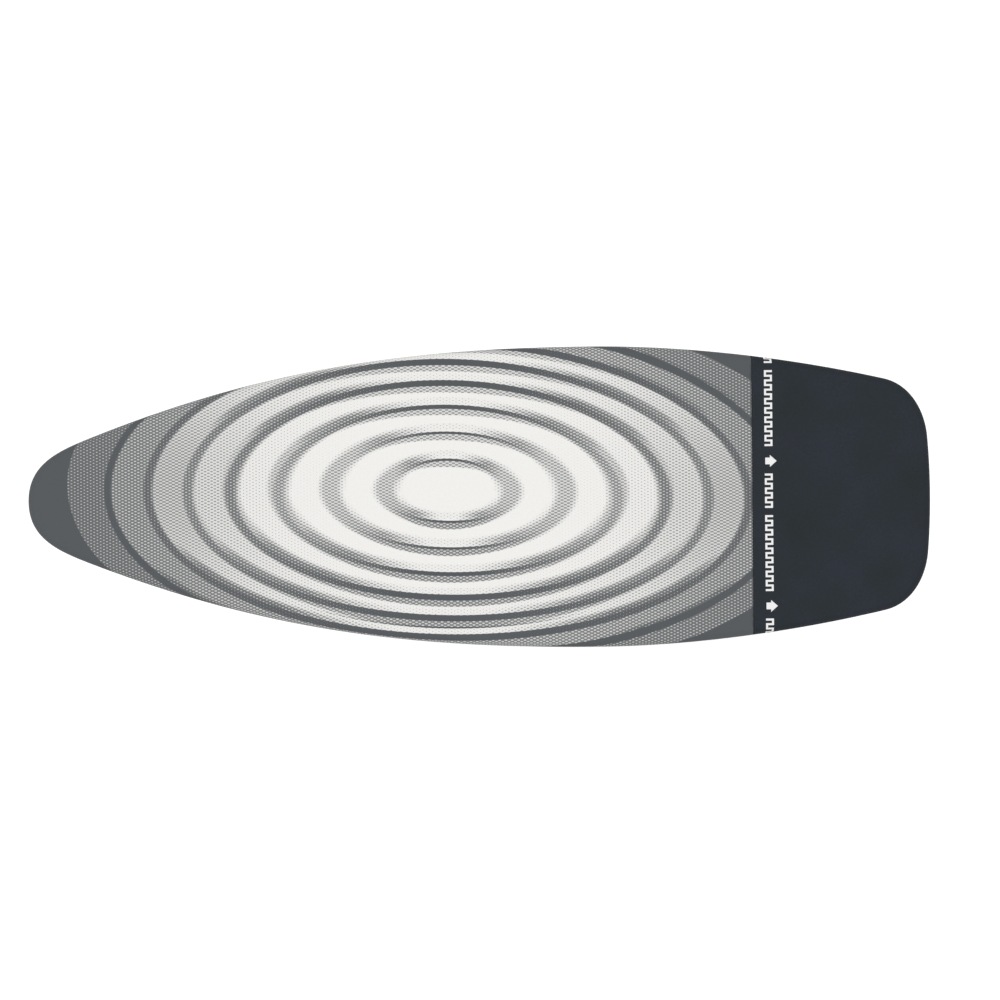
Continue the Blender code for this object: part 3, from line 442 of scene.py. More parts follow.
def printed_tone(s):
    """How much of the print is dark, from 0 to 1, at each place."""
    height, rise = ring_place(s)
    nearest, inside = ring_numbers(s, height)
    steep = rise * rise                          # 1 above and below, 0 at the sides
    level = 1.0 - steep
    steeper = steep * steep
    pull = steeper * rise                        # 1 above, -1 below
    down = s.most(rise * -1.0, 0.0) ** 2.0       # 1 straight below
    line = per_ring(s, nearest, 2, LINE_SCALE)
    off_line = height - per_ring(s, nearest, 0, RADIUS_SCALE) + steep * RINGS_RISE
    off = off_line - down * s.blend(nearest, *RINGS_DROP)

    def band(shift, half, soft, tone):
        return s.step((abs(off - shift) - half) / soft, 0.0, 1.0, 1.0, 0.0) * tone

    lean = rise * level * -CORE_LEAN - level * CORE_INSET
    depth = s.blend(steep ** 1.5, per_ring(s, nearest, 1), 1.0)
    soft_side = s.blend(nearest, *CORE_SOFT_SIDE)
    core_soft = s.blend(s.math("SQRT", steep), soft_side, CORE_SOFT_LINE)
    core = band(lean, s.blend(steep, CORE_HALF, line), core_soft, depth)

    slanted = s.least(steep * level * SLANT_SCALE, 1.0)
    fade_shift = lean + s.math("SIGN", rise) * FADE_SHIFT
    fade_tone = depth * slanted * FADE_TONE
    fade = band(fade_shift, s.blend(down, *FADE_HALF), s.blend(down, *FADE_SOFT), fade_tone)

    shade_shift = pull * ((line + SHADE_SHIFT) * -1.0)
    shade = band(shade_shift, SHADE_HALF, s.blend(steep, *SHADE_SOFT), s.blend(down, *SHADE_TONE))
    dots = band(pull * DOTS_SHIFT, DOTS_HALF, DOTS_SOFT, steeper * DOTS_TONE)
    rings = s.most(core, fade, shade, dots) * (nearest > 0.5 / BANDS)

    kept = s.step(inside, GROUND_CHANGE[0] / BANDS, GROUND_CHANGE[1] / BANDS, *GROUND_KEPT)
    ground = per_ring(s, inside, 3) * s.blend(level, kept, 1.0)
    extra = s.step(abs(height - EXTRA_LINE), *EXTRA_EDGE, 1.0, 0.0) * down ** 5.0
    solid = s.step(height, SOLID_FROM - SOLID_EDGE, SOLID_FROM + SOLID_EDGE)
    return s.most(rings, ground, extra, solid)


def screened(s, tone):
    """The tone as a screen of round dots, dark on light or light on dark."""
    x, y = s.axes()
    screen = s.wave(x, DOT_PITCH[0]) * s.wave(y, DOT_PITCH[1])
    off_middle = 1.0 - tone * 2.0
    size = 1.0 - abs(off_middle)
    level = (1.0 - s.most(size, 0.0) ** DOT_GROWTH) * s.math("SIGN", off_middle) * DOT_SPREAD
    mask = s.step(screen - level, -DOT_EDGE, DOT_EDGE)
    return s.mix(SCREEN_SHARPNESS, tone, mask)


def printed_cotton():
    s = Shader("printed_cotton_weave", FLAT_PLACE)
    mask = screened(s, printed_tone(s))
    paper = s.mix(s.noise(260.0, 4.0), (0.770, 0.764, 0.748), (0.835, 0.829, 0.814))
    ink = s.mix(s.noise(300.0), (0.079, 0.086, 0.092), (0.088, 0.095, 0.102))
    s.set(Base_Color=s.mix(mask, paper, ink), Roughness=0.88, Specular_IOR_Level=0.25,
          Sheen_Weight=0.06, Sheen_Roughness=0.5)
    s.bump(s.weave(0.0011) + s.noise(900.0) * 0.8, 0.18, 0.0002)
    return s.material


# The border beside the seam: arrows that point along the board, a period apart, and between them
# two rows of a square wave, counted in the wave's pitches from its start beside each arrow.
BORDER_PERIOD = 0.2165
FIRST_ARROW_Y = 0.0510
ARROW_HEAD = (0.0265, 0.0366)                    # from the seam, base and tip
ARROW_STEM = (0.0196, 0.0267)
ARROW_STEM_HALF = 0.0050
ARROW_SLOPE = 0.88
WAVE_FROM, WAVE_TO = 0.0187, 0.0306              # from the seam
WAVE_STROKE = 0.0030
WAVE_PITCH = 0.0138
WAVE_START = 0.0180                              # from the arrow's middle
WAVE_RISE, WAVE_FALL = 0.06, 0.56                # where its bars stand, in pitches
WAVE_ROWS = ((0.06, 3.78), (4.56, 12.78))


def border_print(s):
    """1 where the heat zone's border is printed, else 0."""
    x, y = s.axes()
    run = s.math("MODULO", FIRST_ARROW_Y - y + BORDER_PERIOD * 4, BORDER_PERIOD)
    out = x - SEAM_X
    off_arrow = s.least(run, BORDER_PERIOD - run)
    head = (off_arrow < (ARROW_HEAD[1] - out) * ARROW_SLOPE) * s.within(out, *ARROW_HEAD)
    stem = (off_arrow < ARROW_STEM_HALF) * s.within(out, *ARROW_STEM)

    cell = (run - WAVE_START) / WAVE_PITCH
    part = s.math("FRACT", cell)
    wide = WAVE_STROKE / WAVE_PITCH
    first = s.within(part, WAVE_RISE, WAVE_RISE + wide)
    second = s.within(part, WAVE_FALL, WAVE_FALL + wide)
    bars = s.most(first, second) * s.within(out, WAVE_FROM, WAVE_TO)
    upper = s.within(part, WAVE_RISE, WAVE_FALL + wide) * s.within(out, WAVE_TO - WAVE_STROKE, WAVE_TO)
    beside = 1.0 - s.within(part, WAVE_RISE + wide, WAVE_FALL)
    lower = beside * s.within(out, WAVE_FROM, WAVE_FROM + WAVE_STROKE)
    rows = s.most(*(s.within(cell, *row) for row in WAVE_ROWS))
    return s.most(head, stem, s.most(bars, upper, lower) * rows)


def heat_cloth():
    """Dark coated cloth with its light printed border."""
    s = Shader("heat_zone_weave", FLAT_PLACE)
    patches = s.noise(10.0, 4.0) * 0.6 + s.noise(240.0) * 0.4
    cloth = s.mix(s.step(patches, 0.36, 0.64), (0.0150, 0.0215, 0.0235), (0.0200, 0.0240, 0.0350))
    s.set(Base_Color=s.mix(border_print(s), cloth, (0.80, 0.80, 0.80)), Roughness=0.80,
          Specular_IOR_Level=0.20, Sheen_Weight=0.02, Sheen_Roughness=0.4)
    s.bump(s.weave(0.0016) + s.noise(700.0) * 0.6, 0.22, 0.0003)
    return s.material


# ---- the other materials -------------------------------------------------------------------------


def cloth_material(name, dark, light, pitch):
    """Plain woven cloth, braid or thread."""
    s = Shader(name)
    s.set(Base_Color=s.mix(s.noise(220.0), dark, light), Roughness=0.9, Specular_IOR_Level=0.2,
          Sheen_Weight=0.15, Sheen_Roughness=0.5)
    s.bump(s.weave(pitch) + s.noise(1200.0) * 0.7, 0.4, 0.0003)
    return s.material


def fibre_material(name, dark, light, scale):
    """Foam cells or felted fibres."""
    s = Shader(name)
    fibres = s.noise(scale, 6.0, 0.7)
    s.set(Base_Color=s.mix(fibres, dark, light), Roughness=0.97, Specular_IOR_Level=0.1, Sheen_Weight=0.3)
    s.bump(fibres, 0.7, 0.0008)
    return s.material


def painted_metal(name, dark, light):
    """Powder coat: a fine orange peel, and dust marks."""
    s = Shader(name)
    marks = s.noise(28.0, 6.0, 0.6)
    s.set(Base_Color=s.mix(marks, dark, light), Coat_Weight=0.15, Coat_Roughness=0.25,
          Roughness=s.blend(marks, 0.30, 0.46))
    s.bump(s.noise(1500.0, 2.0) + marks * 0.3, 0.22, 0.0003)
    return s.material


def plated_steel(name, dark, light, stretch=(1.0, 1.0, 12.0)):
    """Zinc or chrome plate with fine drawn lines along one direction."""
    s = Shader(name)
    mapping = s.add("Mapping", s.place)
    mapping.inputs["Scale"].default_value = stretch
    lines = s.noise(90.0, 5.0, 0.65, Value(s, mapping.outputs[0]))
    s.set(Base_Color=s.mix(lines, dark, light), Metallic=1.0, Roughness=s.blend(lines, 0.22, 0.42))
    s.bump(lines, 0.12, 0.0002)
    return s.material


def moulded_plastic(name, dark, light, roughness):
    """Plastic or rubber with a fine grain and worn marks."""
    s = Shader(name)
    grain = s.noise(1800.0, 2.0)
    marks = s.noise(35.0, 5.0)
    s.set(Base_Color=s.mix(marks, dark, light), Specular_IOR_Level=0.45,
          Roughness=s.blend(marks, roughness - 0.08, roughness + 0.08))
    s.bump(grain, 0.25, 0.0002)
    return s.material


def cad_materials():
    """The looks of the CAD nodes that stay, by their material slot."""
    along_mesh = (6, 1, 1)
    mesh = plated_steel("mesh_steel_paint", (0.50, 0.51, 0.52), (0.66, 0.67, 0.68), along_mesh)
    frame_paint = painted_metal("frame_powder_coat", (0.50, 0.515, 0.53), (0.60, 0.61, 0.62))
    leg_paint = painted_metal("leg_powder_coat", (0.40, 0.415, 0.43), (0.50, 0.51, 0.525))
    zinc = plated_steel("zinc_plate", (0.52, 0.53, 0.54), (0.72, 0.72, 0.71))
    black = moulded_plastic("black_moulding", (0.018, 0.018, 0.020), (0.030, 0.030, 0.033), 0.45)
    grey = moulded_plastic("grey_moulding", (0.16, 0.16, 0.17), (0.22, 0.22, 0.23), 0.50)
    rubber = moulded_plastic("rubber_moulding", (0.020, 0.020, 0.022), (0.034, 0.034, 0.036), 0.80)
    return {"mesh_steel": mesh, "frame_paint": frame_paint, "leg_paint": leg_paint, "zinc_steel": zinc,
            "black_plastic": black, "grey_plastic": grey, "foot_rubber": rubber}


def dress_cad_nodes(looks):
    for item in list(bpy.data.objects):
        if item.type != "MESH" or item.name not in frame["nodes"]:
            continue
        for place in item.material_slots:
            name = place.material.name.split(".")[0] if place.material else ""
            if name in looks:
                place.material = looks[name]


# ---- the outline of the top ----------------------------------------------------------------------

NOSE_WAY = Vector((1, FLANK_SLOPE)).normalized()
CORNER_WAY = Vector((1, CORNER_SLOPE)).normalized()
END_WAY = Vector((END_BOW * 2, -END_HALF_WIDTH)).normalized()
FLANK_HANDLES = 1 / 2.7      # of the stretch from the nose to the widest place
REAR_HANDLES = 1 / 3.1       # of the stretch from there to the corner


def bezier(start, out, back, end, count):
    """Points and tangents of one cubic stretch, without its last point."""
    made = []
    for k in range(count):
        t = k / count
        u = 1 - t
        place = start * u ** 3 + out * 3 * u * u * t + back * 3 * u * t * t + end * t ** 3
        tangent = (out - start) * u * u + (back - out) * 2 * u * t + (end - back) * t * t
        made.append((place, tangent.normalized()))
    return made


def half_outline(fine=60):
    """From the nose tip along +Y to the middle of the broad end."""
    level, up = Vector((1, 0)), Vector((0, 1))
    tip = Vector((NOSE_X, 0))
    nose = Vector((NOSE_X + NOSE_LENGTH, NOSE_HALF_WIDTH))
    widest = Vector((END_X - WIDEST_FROM_END, BOARD_WIDTH / 2))
    corner = Vector((END_X - CORNER_LENGTH, CORNER_HALF_WIDTH))
    shoulder = Vector((END_X - END_BOW, END_HALF_WIDTH))
    end = Vector((END_X, 0))
    flank = (widest.x - nose.x) * FLANK_HANDLES
    rear = (corner.x - widest.x) * REAR_HANDLES
    bow = END_HALF_WIDTH / 3
    points = bezier(tip, tip + up * NOSE_ROUNDING, nose - NOSE_WAY * NOSE_ROUNDING, nose, fine)
    points += bezier(nose, nose + NOSE_WAY * flank, widest - level * flank, widest, fine)
    points += bezier(widest, widest + level * rear, corner - CORNER_WAY * rear, corner, fine)
    points += bezier(corner, corner + CORNER_WAY * CORNER_ROUNDING, shoulder - END_WAY * CORNER_ROUNDING,
                     shoulder, fine)
    points += bezier(shoulder, shoulder + END_WAY * bow, end + up * bow, end, fine)
    points.append((end, -up))
    return points


def outline(count):
    """Evenly spaced points round the whole outline, from the nose tip by +Y, and their inward normals."""
    half = [(p, Vector((w.y, -w.x))) for p, w in half_outline()]
    whole = half + [(Vector((p.x, -p.y)), Vector((n.x, -n.y))) for p, n in reversed(half[:-1])]
    places = np.array([p for p, _ in whole])
    normals = np.array([n for _, n in whole])
    run = running_length(places)
    even = np.linspace(0, run[-1], count, endpoint=False)
    spots = np.stack([np.interp(even, run, places[:, k]) for k in (0, 1)], axis=1)
    ways = np.stack([np.interp(even, run, normals[:, k]) for k in (0, 1)], axis=1)
    ways /= np.linalg.norm(ways, axis=1)[:, None]
    return spots, ways


SPOTS, INWARD = outline(AROUND)


def half_width(x):
    points = [p for p, _ in half_outline()]
    return float(np.interp(x, [p.x for p in points], [p.y for p in points]))


def ring(inset, z):
    """The outline moved inward; inset and z are one number or one for each station."""
    moved = SPOTS + INWARD * np.broadcast_to(inset, AROUND)[:, None]
    return np.column_stack([moved, np.broadcast_to(z, AROUND)])


def arc(middle, radius, start, end, steps):
    """Points (inset, z) on a circle; the angle is measured from the inward direction."""
    angles = [radians(start + (end - start) * k / steps) for k in range(steps + 1)]
    return [(middle[0] + radius * cos(a), middle[1] + radius * sin(a)) for a in angles]


def gathers(scale, seed):
    """A wavy value from 0 to 1 for each station, like cloth drawn up by a cord."""
    made = []
    for x, y in SPOTS:
        wide = noise.noise(Vector((x * scale, y * scale, seed)))
        fine = noise.noise(Vector((x * scale * 2.3, y * scale * 2.3, seed + 7)))
        made.append(0.5 + 0.5 * sin(wide * 9 + fine * 4))
    return np.array(made)


# ---- the soft top --------------------------------------------------------------------------------

SPINE_FROM_NOSE = 0.115      # the middle line that the top's rows run to
SPINE_FROM_END = 0.150
TOP_ROWS = 36
TOP_RIPPLE = 0.0004          # unevenness of the padded top
RIPPLE_SCALE = 9.0
HEM_GATHER = 0.0016          # how deep the drawn-up hem's waves hang
HEM_GATHER_FROM = 0.011      # below the top
SKIRT_GATHER = 0.0005        # how deep the waves of the cloth beside the tube are
SKIRT_GATHER_FROM = 0.008
SKIRT_DEPTH = 0.012          # how far in they reach
GATHERS_GROW = 0.016         # the height in which they grow to their full depth
SEAM_STRIP = 0.004           # a second cut beside the seam, so that its fold has points to bend at
SEAM_SUNK = 0.0004           # of the print's edge at the seam
SEAM_RAISED = 0.0005         # of the heat zone's edge, which lies over it
STITCH_LENGTH = 0.0028
STITCH_PITCH = 0.0036
STITCH_FROM_SEAM = 0.0028
STITCH_HEIGHT = 0.0006
THREAD_RADIUS = 0.00032


def top_rings(inset, z, steps, ripple=0.0):
    """Rings from an inset of the outline in to the middle line."""
    edge = SPOTS + INWARD * inset
    low, high = NOSE_X + SPINE_FROM_NOSE, END_X - SPINE_FROM_END
    along = (edge[:, 0] - NOSE_X) / BOARD_LENGTH
    middle = np.column_stack([low + (high - low) * along, np.zeros(AROUND)])
    made = []
    for k in range(1, steps + 1):
        share = k / steps
        places = edge + (middle - edge) * share
        height = ripple * smoothstep(share, 0, 0.12)
        lift = [height * noise.noise(Vector((x * RIPPLE_SCALE, y * RIPPLE_SCALE, 3.0))) for x, y in places]
        made.append(np.column_stack([places, z + np.array(lift)]))
    return made


def cover_surface():
    """The cover's outer face as rings: the drawn-up hem, the turn, the rounded edge, the flat top.

    With them come the same rings on the cloth laid flat, where the print and the weave are.
    """
    gathered = gathers(26, 1.0)
    edge_z = TOP_Z - EDGE_RADIUS
    edge = arc((EDGE_RADIUS, edge_z), EDGE_RADIUS, 180, 90, 9)
    turn = arc((TURN_RADIUS, TUBE_Z), TURN_RADIUS, 270, 180, 9)
    hem = [(HEM_WIDTH + (TURN_RADIUS - HEM_WIDTH) * k / 6, TUBE_Z - TURN_RADIUS) for k in range(6)]
    profile = hem + turn + [(0.0, (TUBE_Z + edge_z) / 2)] + edge
    rings = []
    for inset, z in profile:
        under = smoothstep(TOP_Z - HEM_GATHER_FROM - z, 0, GATHERS_GROW)
        under *= smoothstep(inset, -0.002, HEM_WIDTH)
        skirt = smoothstep(TOP_Z - SKIRT_GATHER_FROM - z, 0, GATHERS_GROW)
        skirt *= 1 - smoothstep(inset, 0, SKIRT_DEPTH)
        rings.append(ring(inset + skirt * SKIRT_GATHER * gathered, z - under * HEM_GATHER * gathered))
    run = running_length(profile)
    flat = [ring(EDGE_RADIUS - run[-1] + along, 0.0) for along in run]
    top = top_rings(EDGE_RADIUS, TOP_Z, TOP_ROWS, TOP_RIPPLE)
    return rings + top, flat + [places * (1, 1, 0) for places in top]


def cover_half(name, surface, keep_low, lift, fold):
    """One side of the cover, cut at the seam, and the area of its outer face.

    Within the fold's width of the seam the cloth is lifted, or sunk where lift is negative.
    """
    rings, flat_rings = cover_surface()
    bm = bmesh.new()
    layer = bm.verts.layers.float_vector.new(FLAT_PLACE)
    made = [bm.verts.new(co) for co in np.concatenate(rings)]
    for vert, place in zip(made, np.concatenate(flat_rings)):
        vert[layer] = place
    for face in grid_faces(len(rings), AROUND):
        bm.faces.new([made[k] for k in face])
    bmesh.ops.remove_doubles(bm, verts=bm.verts, dist=MERGED)
    for at in (SEAM_X, SEAM_X + (-SEAM_STRIP if keep_low else SEAM_STRIP)):
        everything = bm.verts[:] + bm.edges[:] + bm.faces[:]
        bmesh.ops.bisect_plane(bm, geom=everything, plane_co=(at, 0, 0), plane_no=(1, 0, 0))
    gone = [f for f in bm.faces if (f.calc_center_median().x > SEAM_X) == keep_low]
    bmesh.ops.delete(bm, geom=gone, context="FACES")
    for vert in bm.verts:
        if vert.co.z > TUBE_Z:
            vert.co.z += lift * (1 - smoothstep(abs(vert.co.x - SEAM_X), 0.0, fold))
    bmesh.ops.recalc_face_normals(bm, faces=bm.faces)
    top = max(bm.faces, key=lambda f: f.calc_center_median().z)
    if top.normal.z < 0:
        bmesh.ops.reverse_faces(bm, faces=bm.faces)
    area = sum(f.calc_area() for f in bm.faces)
    piece = bmesh_piece(name, bm, surface)
    thick = piece.modifiers.new("cloth", "SOLIDIFY")
    thick.thickness = CLOTH_THICKNESS
    thick.offset = -1
    return piece, area


def cover_pieces(cotton, heat, thread):
    """The printed cover and the heat zone sewn to it, with the row of stitches along the seam."""
    printed, printed_area = cover_half("cover_print", cotton, True, -SEAM_SUNK, 0.006)
    zone, zone_area = cover_half("cover_heat_zone", heat, False, SEAM_RAISED, 0.005)
    stitches = seam_stitches(thread)
    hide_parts("cover_fabric")
    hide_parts("heat_zone_fabric")


def seam_stitches(thread):
    """A row of top stitches beside the seam, over the flat top and down both edges."""
    x = SEAM_X + STITCH_FROM_SEAM
    wide = half_width(x)
    flat = wide - EDGE_RADIUS
    path = [(flat - k * 0.001, TOP_Z) for k in range(int(flat / 0.001) + 1)]
    rounding = arc((EDGE_RADIUS, TOP_Z - EDGE_RADIUS), EDGE_RADIUS, 170, 90, 18)
    edge = [(wide - inset, z) for inset, z in rounding]
    half = edge + path[1:]
    line = np.array(half + [(-y, z) for y, z in reversed(half[:-1])])
    run = running_length(line)
    dip = -STITCH_HEIGHT * np.abs(np.linspace(-1, 1, 7)) ** 4
    parts = []
    start = 0.002
    while start + STITCH_LENGTH < run[-1]:
        spots = np.linspace(start, start + STITCH_LENGTH, 7)
        y = np.interp(spots, run, line[:, 0])
        z = np.interp(spots, run, line[:, 1]) + STITCH_HEIGHT
        parts.append(tube_along(np.column_stack([np.full(7, x), y, z + dip]), THREAD_RADIUS, 8))
        start += STITCH_PITCH
    piece = mesh_piece("seam_stitching", *join(parts), thread)
    return piece


def mirrored(points):
    """(inset, z) points turned upside down."""
    return [(inset, -z) for inset, z in points]


def hem_tape(surface):
    """The folded tape that holds the cord, drawn into small gathers."""
    gathered = gathers(60, 5.0)
    back = HEM_WIDTH + 0.0003
    mouth = CORD_INSET + 0.0033
    outer, inner = 0.0031, 0.0024            # half heights of the fold
    outside = [(mouth, outer), (back + 0.0018, outer), (back + 0.0006, outer - 0.0006), (back, 0.0014)]
    inside = [(mouth, inner), (back + 0.0020, inner), (back + 0.0010, 0.0012)]
    lip = [(mouth + 0.0003, (outer + inner) / 2)]
    section = mirrored(outside) + [(back, 0.0)] + outside[::-1] + lip
    section += inside + [(back + 0.0008, 0.0)] + mirrored(inside)[::-1] + mirrored(lip)
    rings = []
    for inset, z in section:
        bulge = 0.0005 if abs(z) > inner + 0.0002 else 0.0
        rings.append(ring(inset, CORD_Z + z + bulge * gathered * (1 if z > 0 else -1)))
    total = len(rings) * AROUND
    faces = [tuple(k % total for k in face) for face in grid_faces(len(rings) + 1, AROUND)]
    piece = mesh_piece("hem_tape", np.concatenate(rings), faces, surface)
    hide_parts("hem_binding")


def drawcord(surface, tips):
    """The braided cord: out of the lock, round inside the hem, and back, with a tip on each end."""
    spread = CORD_RADIUS + 0.00015
    loop = SPOTS + INWARD * CORD_INSET
    leave = next(k for k in range(AROUND) if loop[k, 1] > CORD_LEAVES_Y)
    body = [(x, y) for x, y in loop[leave:AROUND - leave + 1]]
    lead = [(CORD_LOCK_X + 0.026, spread), (CORD_LOCK_X + 0.010, spread), (CORD_LOCK_X, spread),
            (CORD_LOCK_X - 0.013, spread), (CORD_LOCK_X - 0.021, spread + 0.0015),
            (CORD_LOCK_X - 0.027, spread + 0.0055)]
    coarse = np.array(lead + body + [(x, -y) for x, y in reversed(lead)])
    run = running_length(coarse)
    even = np.linspace(0, run[-1], int(run[-1] / CORD_STEP))
    line = np.stack([np.interp(even, run, coarse[:, k]) for k in (0, 1)], axis=1)
    path = np.column_stack([line, np.full(len(line), CORD_Z)])
    lobes, lobe_height, lay = 4, 0.00028, 0.018
    vertices, faces = tube_along(path, CORD_RADIUS, 12, lobes, lobe_height, tau / lay)
    piece = mesh_piece("drawcord", vertices, faces, surface)
    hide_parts("drawstring")

    profile = [(0.0240, 0.00206), (0.0245, 0.00214), (0.0300, 0.00214), (0.0312, 0.0018), (0.0316, 0.0009)]
    sides = 14
    ends = []
    for y in (spread, -spread):
        vertices = [(CORD_LOCK_X + along, y + r * cos(tau * k / sides), CORD_Z + r * sin(tau * k / sides))
                    for along, r in profile for k in range(sides)]
        ends.append((vertices, grid_faces(len(profile), sides) + end_faces(len(profile), sides)[1:]))
    tip = mesh_piece("cord_tips", *join(ends), tips)


def under_cover(z):
    """How far in from the outline a pad may reach at a height, just inside the rounded cover."""
    reach = EDGE_RADIUS - CLOTH_THICKNESS - 0.0005
    rise = min(z - (TOP_Z - EDGE_RADIUS), reach)
    return EDGE_RADIUS - sqrt(reach ** 2 - rise ** 2)


def pad(name, node, slot, bottom, top, surface):
    """A flat pad under the cover, whose edge follows the cover's rounding."""
    rows = 6
    heights = [bottom + (top - bottom) * k / rows for k in range(rows + 1)]
    rim = [(under_cover(z) + 0.0008 * abs(2 * k / rows - 1) ** 3, z) for k, z in enumerate(heights)]
    lower = list(reversed(top_rings(rim[0][0], bottom, 10)))
    upper = top_rings(rim[-1][0], top, 10)
    rings = lower + [ring(inset, z) for inset, z in rim] + upper
    bm = bmesh.new()
    made = [bm.verts.new(co) for co in np.concatenate(rings)]
    for face in grid_faces(len(rings), AROUND):
        bm.faces.new([made[k] for k in face])
    bmesh.ops.remove_doubles(bm, verts=bm.verts, dist=MERGED)
    bmesh.ops.recalc_face_normals(bm, faces=bm.faces)
    piece = bmesh_piece(name, bm, surface)
    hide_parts(node)


# ---- moulded and sprung pieces -------------------------------------------------------------------

CAP_BORE = 0.0113
RIBS = 6
RIB_PITCH = 0.0042
RIB_HEIGHT = 0.0010
GRIP_RIDGES = 7
RIDGE_HEIGHT = 0.00045


def foot_cap(name, node, body, surface):
    """A rubber cap with grip ribs round it and a domed end."""
    low, high = corners(node)
    middle = (low + high) / 2
    sign = 1 if middle.y > 0 else -1
    near = low.y if sign > 0 else high.y
    length = high.y - low.y
    outer = (high.z - low.z) / 2
    wall = outer - RIB_HEIGHT
    profile = [(0.0, CAP_BORE), (0.0, outer - 0.0022), (0.0010, outer - 0.0012), (0.0030, wall)]
    for k in range(RIBS):
        at = 0.0040 + k * RIB_PITCH
        profile += [(at, wall), (at + 0.0006, outer), (at + 0.0026, outer), (at + 0.0032, wall)]
    profile += [(length - 0.0040, outer - 0.0006), (length - 0.0016, outer - 0.0016),
                (length - 0.0004, outer - 0.0045), (length, outer - 0.0085), (length, 0.0005)]
    profile += [(length - 0.0034, 0.0005), (length - 0.0034, CAP_BORE), (0.0, CAP_BORE)]
    sides = 40
    vertices = []
    for along, radius in profile:
        for k in range(sides):
            across, up = radius * cos(tau * k / sides), radius * sin(tau * k / sides)
            vertices.append((middle.x + across, near + sign * along, middle.z + up))
    piece = mesh_piece(name, vertices, grid_faces(len(profile), sides), surface, body)
    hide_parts(node)
    return sharpened(piece, 50)


def lever_grip(surface):
    """The moulded grip on the release bar, waisted and with finger ridges."""
    low, high = corners("lever_grip")
    middle = (low + high) / 2
    half = (high - low) / 2
    rows, sides = 49, 32
    vertices = []
    for row in range(rows):
        share = row / (rows - 1)
        y = low.y + (high.y - low.y) * share
        full = sqrt(max(0.0, 1 - abs(2 * share - 1) ** 8))
        ridge = RIDGE_HEIGHT * max(0.0, sin(share * tau * GRIP_RIDGES)) * smoothstep(full, 0.5, 1.0)
        wide = half.x * (0.35 + 0.65 * full) * (1 - 0.08 * sin(pi * share))
        tall = half.z * (0.35 + 0.65 * full) - ridge
        for k in range(sides):
            c, s = cos(tau * k / sides), sin(tau * k / sides)
            grow = (abs(c) ** 4 + abs(s) ** 4) ** -0.25
            vertices.append((middle.x + wide * c * grow, y, middle.z + tall * s * grow))
    faces = grid_faces(rows, sides) + end_faces(rows, sides)
    piece = mesh_piece("lever_handle", vertices, faces, surface, "release_lever")
    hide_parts("lever_grip")
    return sharpened(piece, 60)


def spring(name, node, body, axis, wire, turns, surface):
    """A round-wire coil in the room of a CAD spring."""
    low, high = corners(node)
    middle = (low + high) / 2
    a, b = [k for k in range(3) if k != axis]
    radius = min(high[a] - low[a], high[b] - low[b]) / 2 - wire
    first, last = low[axis] + wire, high[axis] - wire
    steps = turns * 20
    path = []
    for k in range(steps + 1):
        angle = tau * turns * k / steps
        point = [0.0, 0.0, 0.0]
        point[axis] = first + (last - first) * k / steps
        point[a] = middle[a] + radius * cos(angle)
        point[b] = middle[b] + radius * sin(angle)
        path.append(point)
    piece = mesh_piece(name, *tube_along(path, wire, 8), surface, body)
    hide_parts(node)
    return piece


def button_spring(surface):
    """The cord lock's spring, on a mesh of its own; the real spring shortens as the button is pressed."""
    coil = spring("button_coil", "cord_lock_spring", "board_frame", 2, 0.0004, 5, surface)
    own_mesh(coil)


# ---- camera, light and floor ---------------------------------------------------------------------

CAMERA_PLACE = (0.0310, -0.00385, 5.068)
CAMERA_TURN = radians(-0.5)
LENS, SENSOR = 100, 36
SKY_COLOR = (0.97, 0.985, 1.0, 1)
SKY_STRENGTH = 0.50
SUN_COLOR = (1.0, 0.985, 0.965)
SUN_ENERGY = 1.95
SUN_WIDTH = radians(6)
SUN_TILT = radians(-2)
FLOOR_SIZE = 6.0             # from its middle to each side
FLOOR_Z = -0.0005
FLOOR_GLOW = 0.22


def set_camera():
    data = bpy.data.cameras.new("camera")
    data.lens = LENS
    data.sensor_width = SENSOR
    camera = placed("camera", data)
    camera.location = CAMERA_PLACE
    camera.rotation_euler = (0, 0, CAMERA_TURN)
    bpy.context.scene.camera = camera


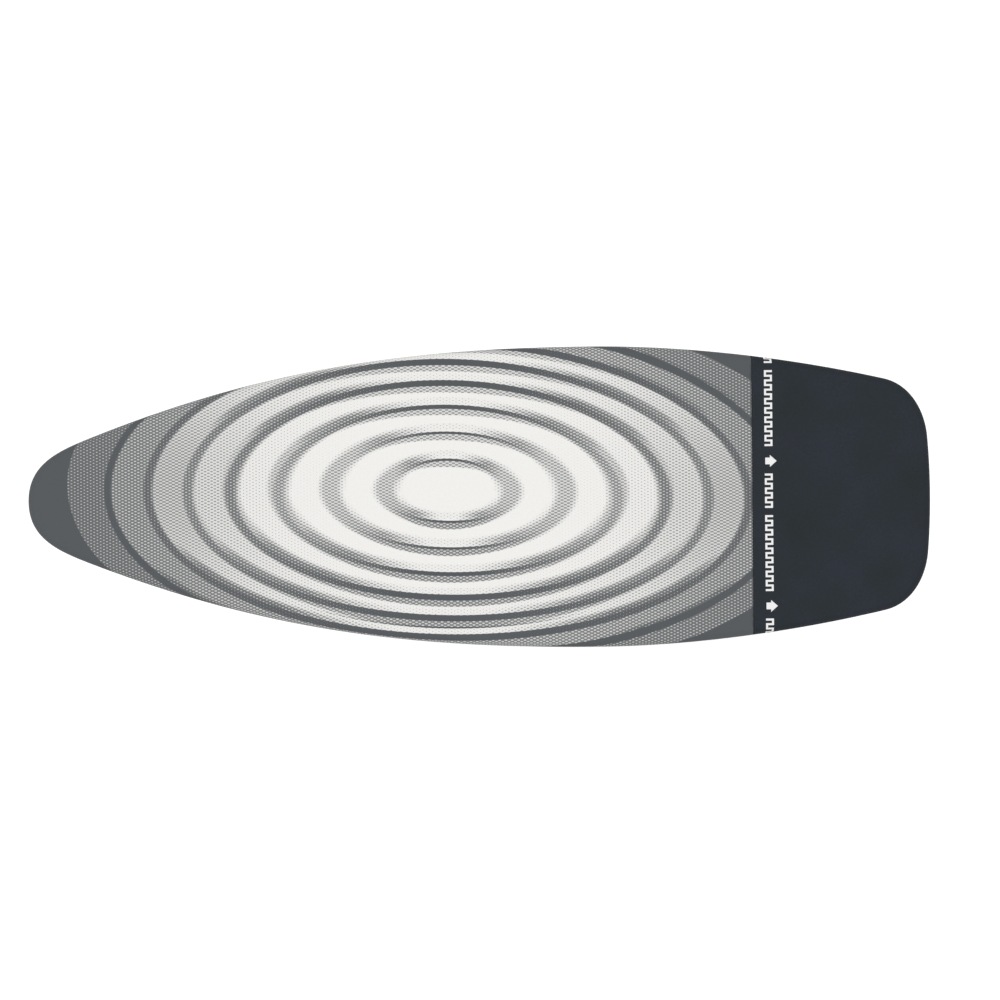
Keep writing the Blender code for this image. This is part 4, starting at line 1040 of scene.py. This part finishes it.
def set_lights():
    world = bpy.data.worlds.new("studio")
    world.use_nodes = True
    background = world.node_tree.nodes["Background"]
    background.inputs["Color"].default_value = SKY_COLOR
    background.inputs["Strength"].default_value = SKY_STRENGTH
    bpy.context.scene.world = world
    data = bpy.data.lights.new("overhead", "SUN")
    data.energy = SUN_ENERGY
    data.angle = SUN_WIDTH
    data.color = SUN_COLOR
    placed("overhead", data).rotation_euler = (SUN_TILT, SUN_TILT, 0)
    bpy.context.scene.view_settings.view_transform = "Standard"


def set_floor():
    size = FLOOR_SIZE
    mesh = bpy.data.meshes.new("floor")
    mesh.from_pydata([(-size, -size, FLOOR_Z), (size, -size, FLOOR_Z), (size, size, FLOOR_Z),
                      (-size, size, FLOOR_Z)], [], [(0, 1, 2, 3)])
    s = Shader("pale_floor")
    s.set(Base_Color=s.mix(s.noise(3.0), (0.86, 0.86, 0.86), (0.88, 0.88, 0.88)), Roughness=0.9,
          Specular_IOR_Level=0.1, Emission_Color=(1, 1, 1, 1), Emission_Strength=FLOOR_GLOW)
    mesh.materials.append(s.material)
    placed("floor", mesh)


# ---- the whole scene -----------------------------------------------------------------------------


def main():
    set_camera()
    set_lights()
    set_floor()
    looks = cad_materials()
    dress_cad_nodes(looks)

    tape = cloth_material("hem_tape_weave", (0.50, 0.50, 0.48), (0.60, 0.60, 0.58), 0.0009)
    cord = cloth_material("drawcord_braid", (0.62, 0.62, 0.60), (0.74, 0.74, 0.72), 0.0008)
    thread = cloth_material("dark_thread", (0.020, 0.024, 0.028), (0.034, 0.040, 0.046), 0.0005)
    foam = fibre_material("foam_cells", (0.60, 0.58, 0.47), (0.74, 0.72, 0.62), 900.0)
    felt = fibre_material("felt_fibres", (0.34, 0.34, 0.34), (0.56, 0.56, 0.56), 420.0)
    hem_tape(tape)
    pad("foam_pad", "foam_layer", "foam", *FOAM_Z, foam)
    pad("felt_pad", "felt_layer", "felt", *FELT_Z, felt)
    cover_pieces(printed_cotton(), heat_cloth(), thread)
    drawcord(cord, looks["black_plastic"])

    for leg in ("outer", "inner"):
        for side in ("left", "right"):
            foot_cap(f"{leg}_rubber_{side}", f"{leg}_foot_cap_{side}", f"{leg}_legs", looks["foot_rubber"])
    lever_grip(looks["black_plastic"])
    spring("lever_coil", "lever_spring", "board_frame", 0, 0.0006, 9, looks["zinc_steel"])
    spring("lock_coil", "lock_spring", "carriage", 0, 0.0006, 6, looks["zinc_steel"])
    button_spring(looks["zinc_steel"])


main()
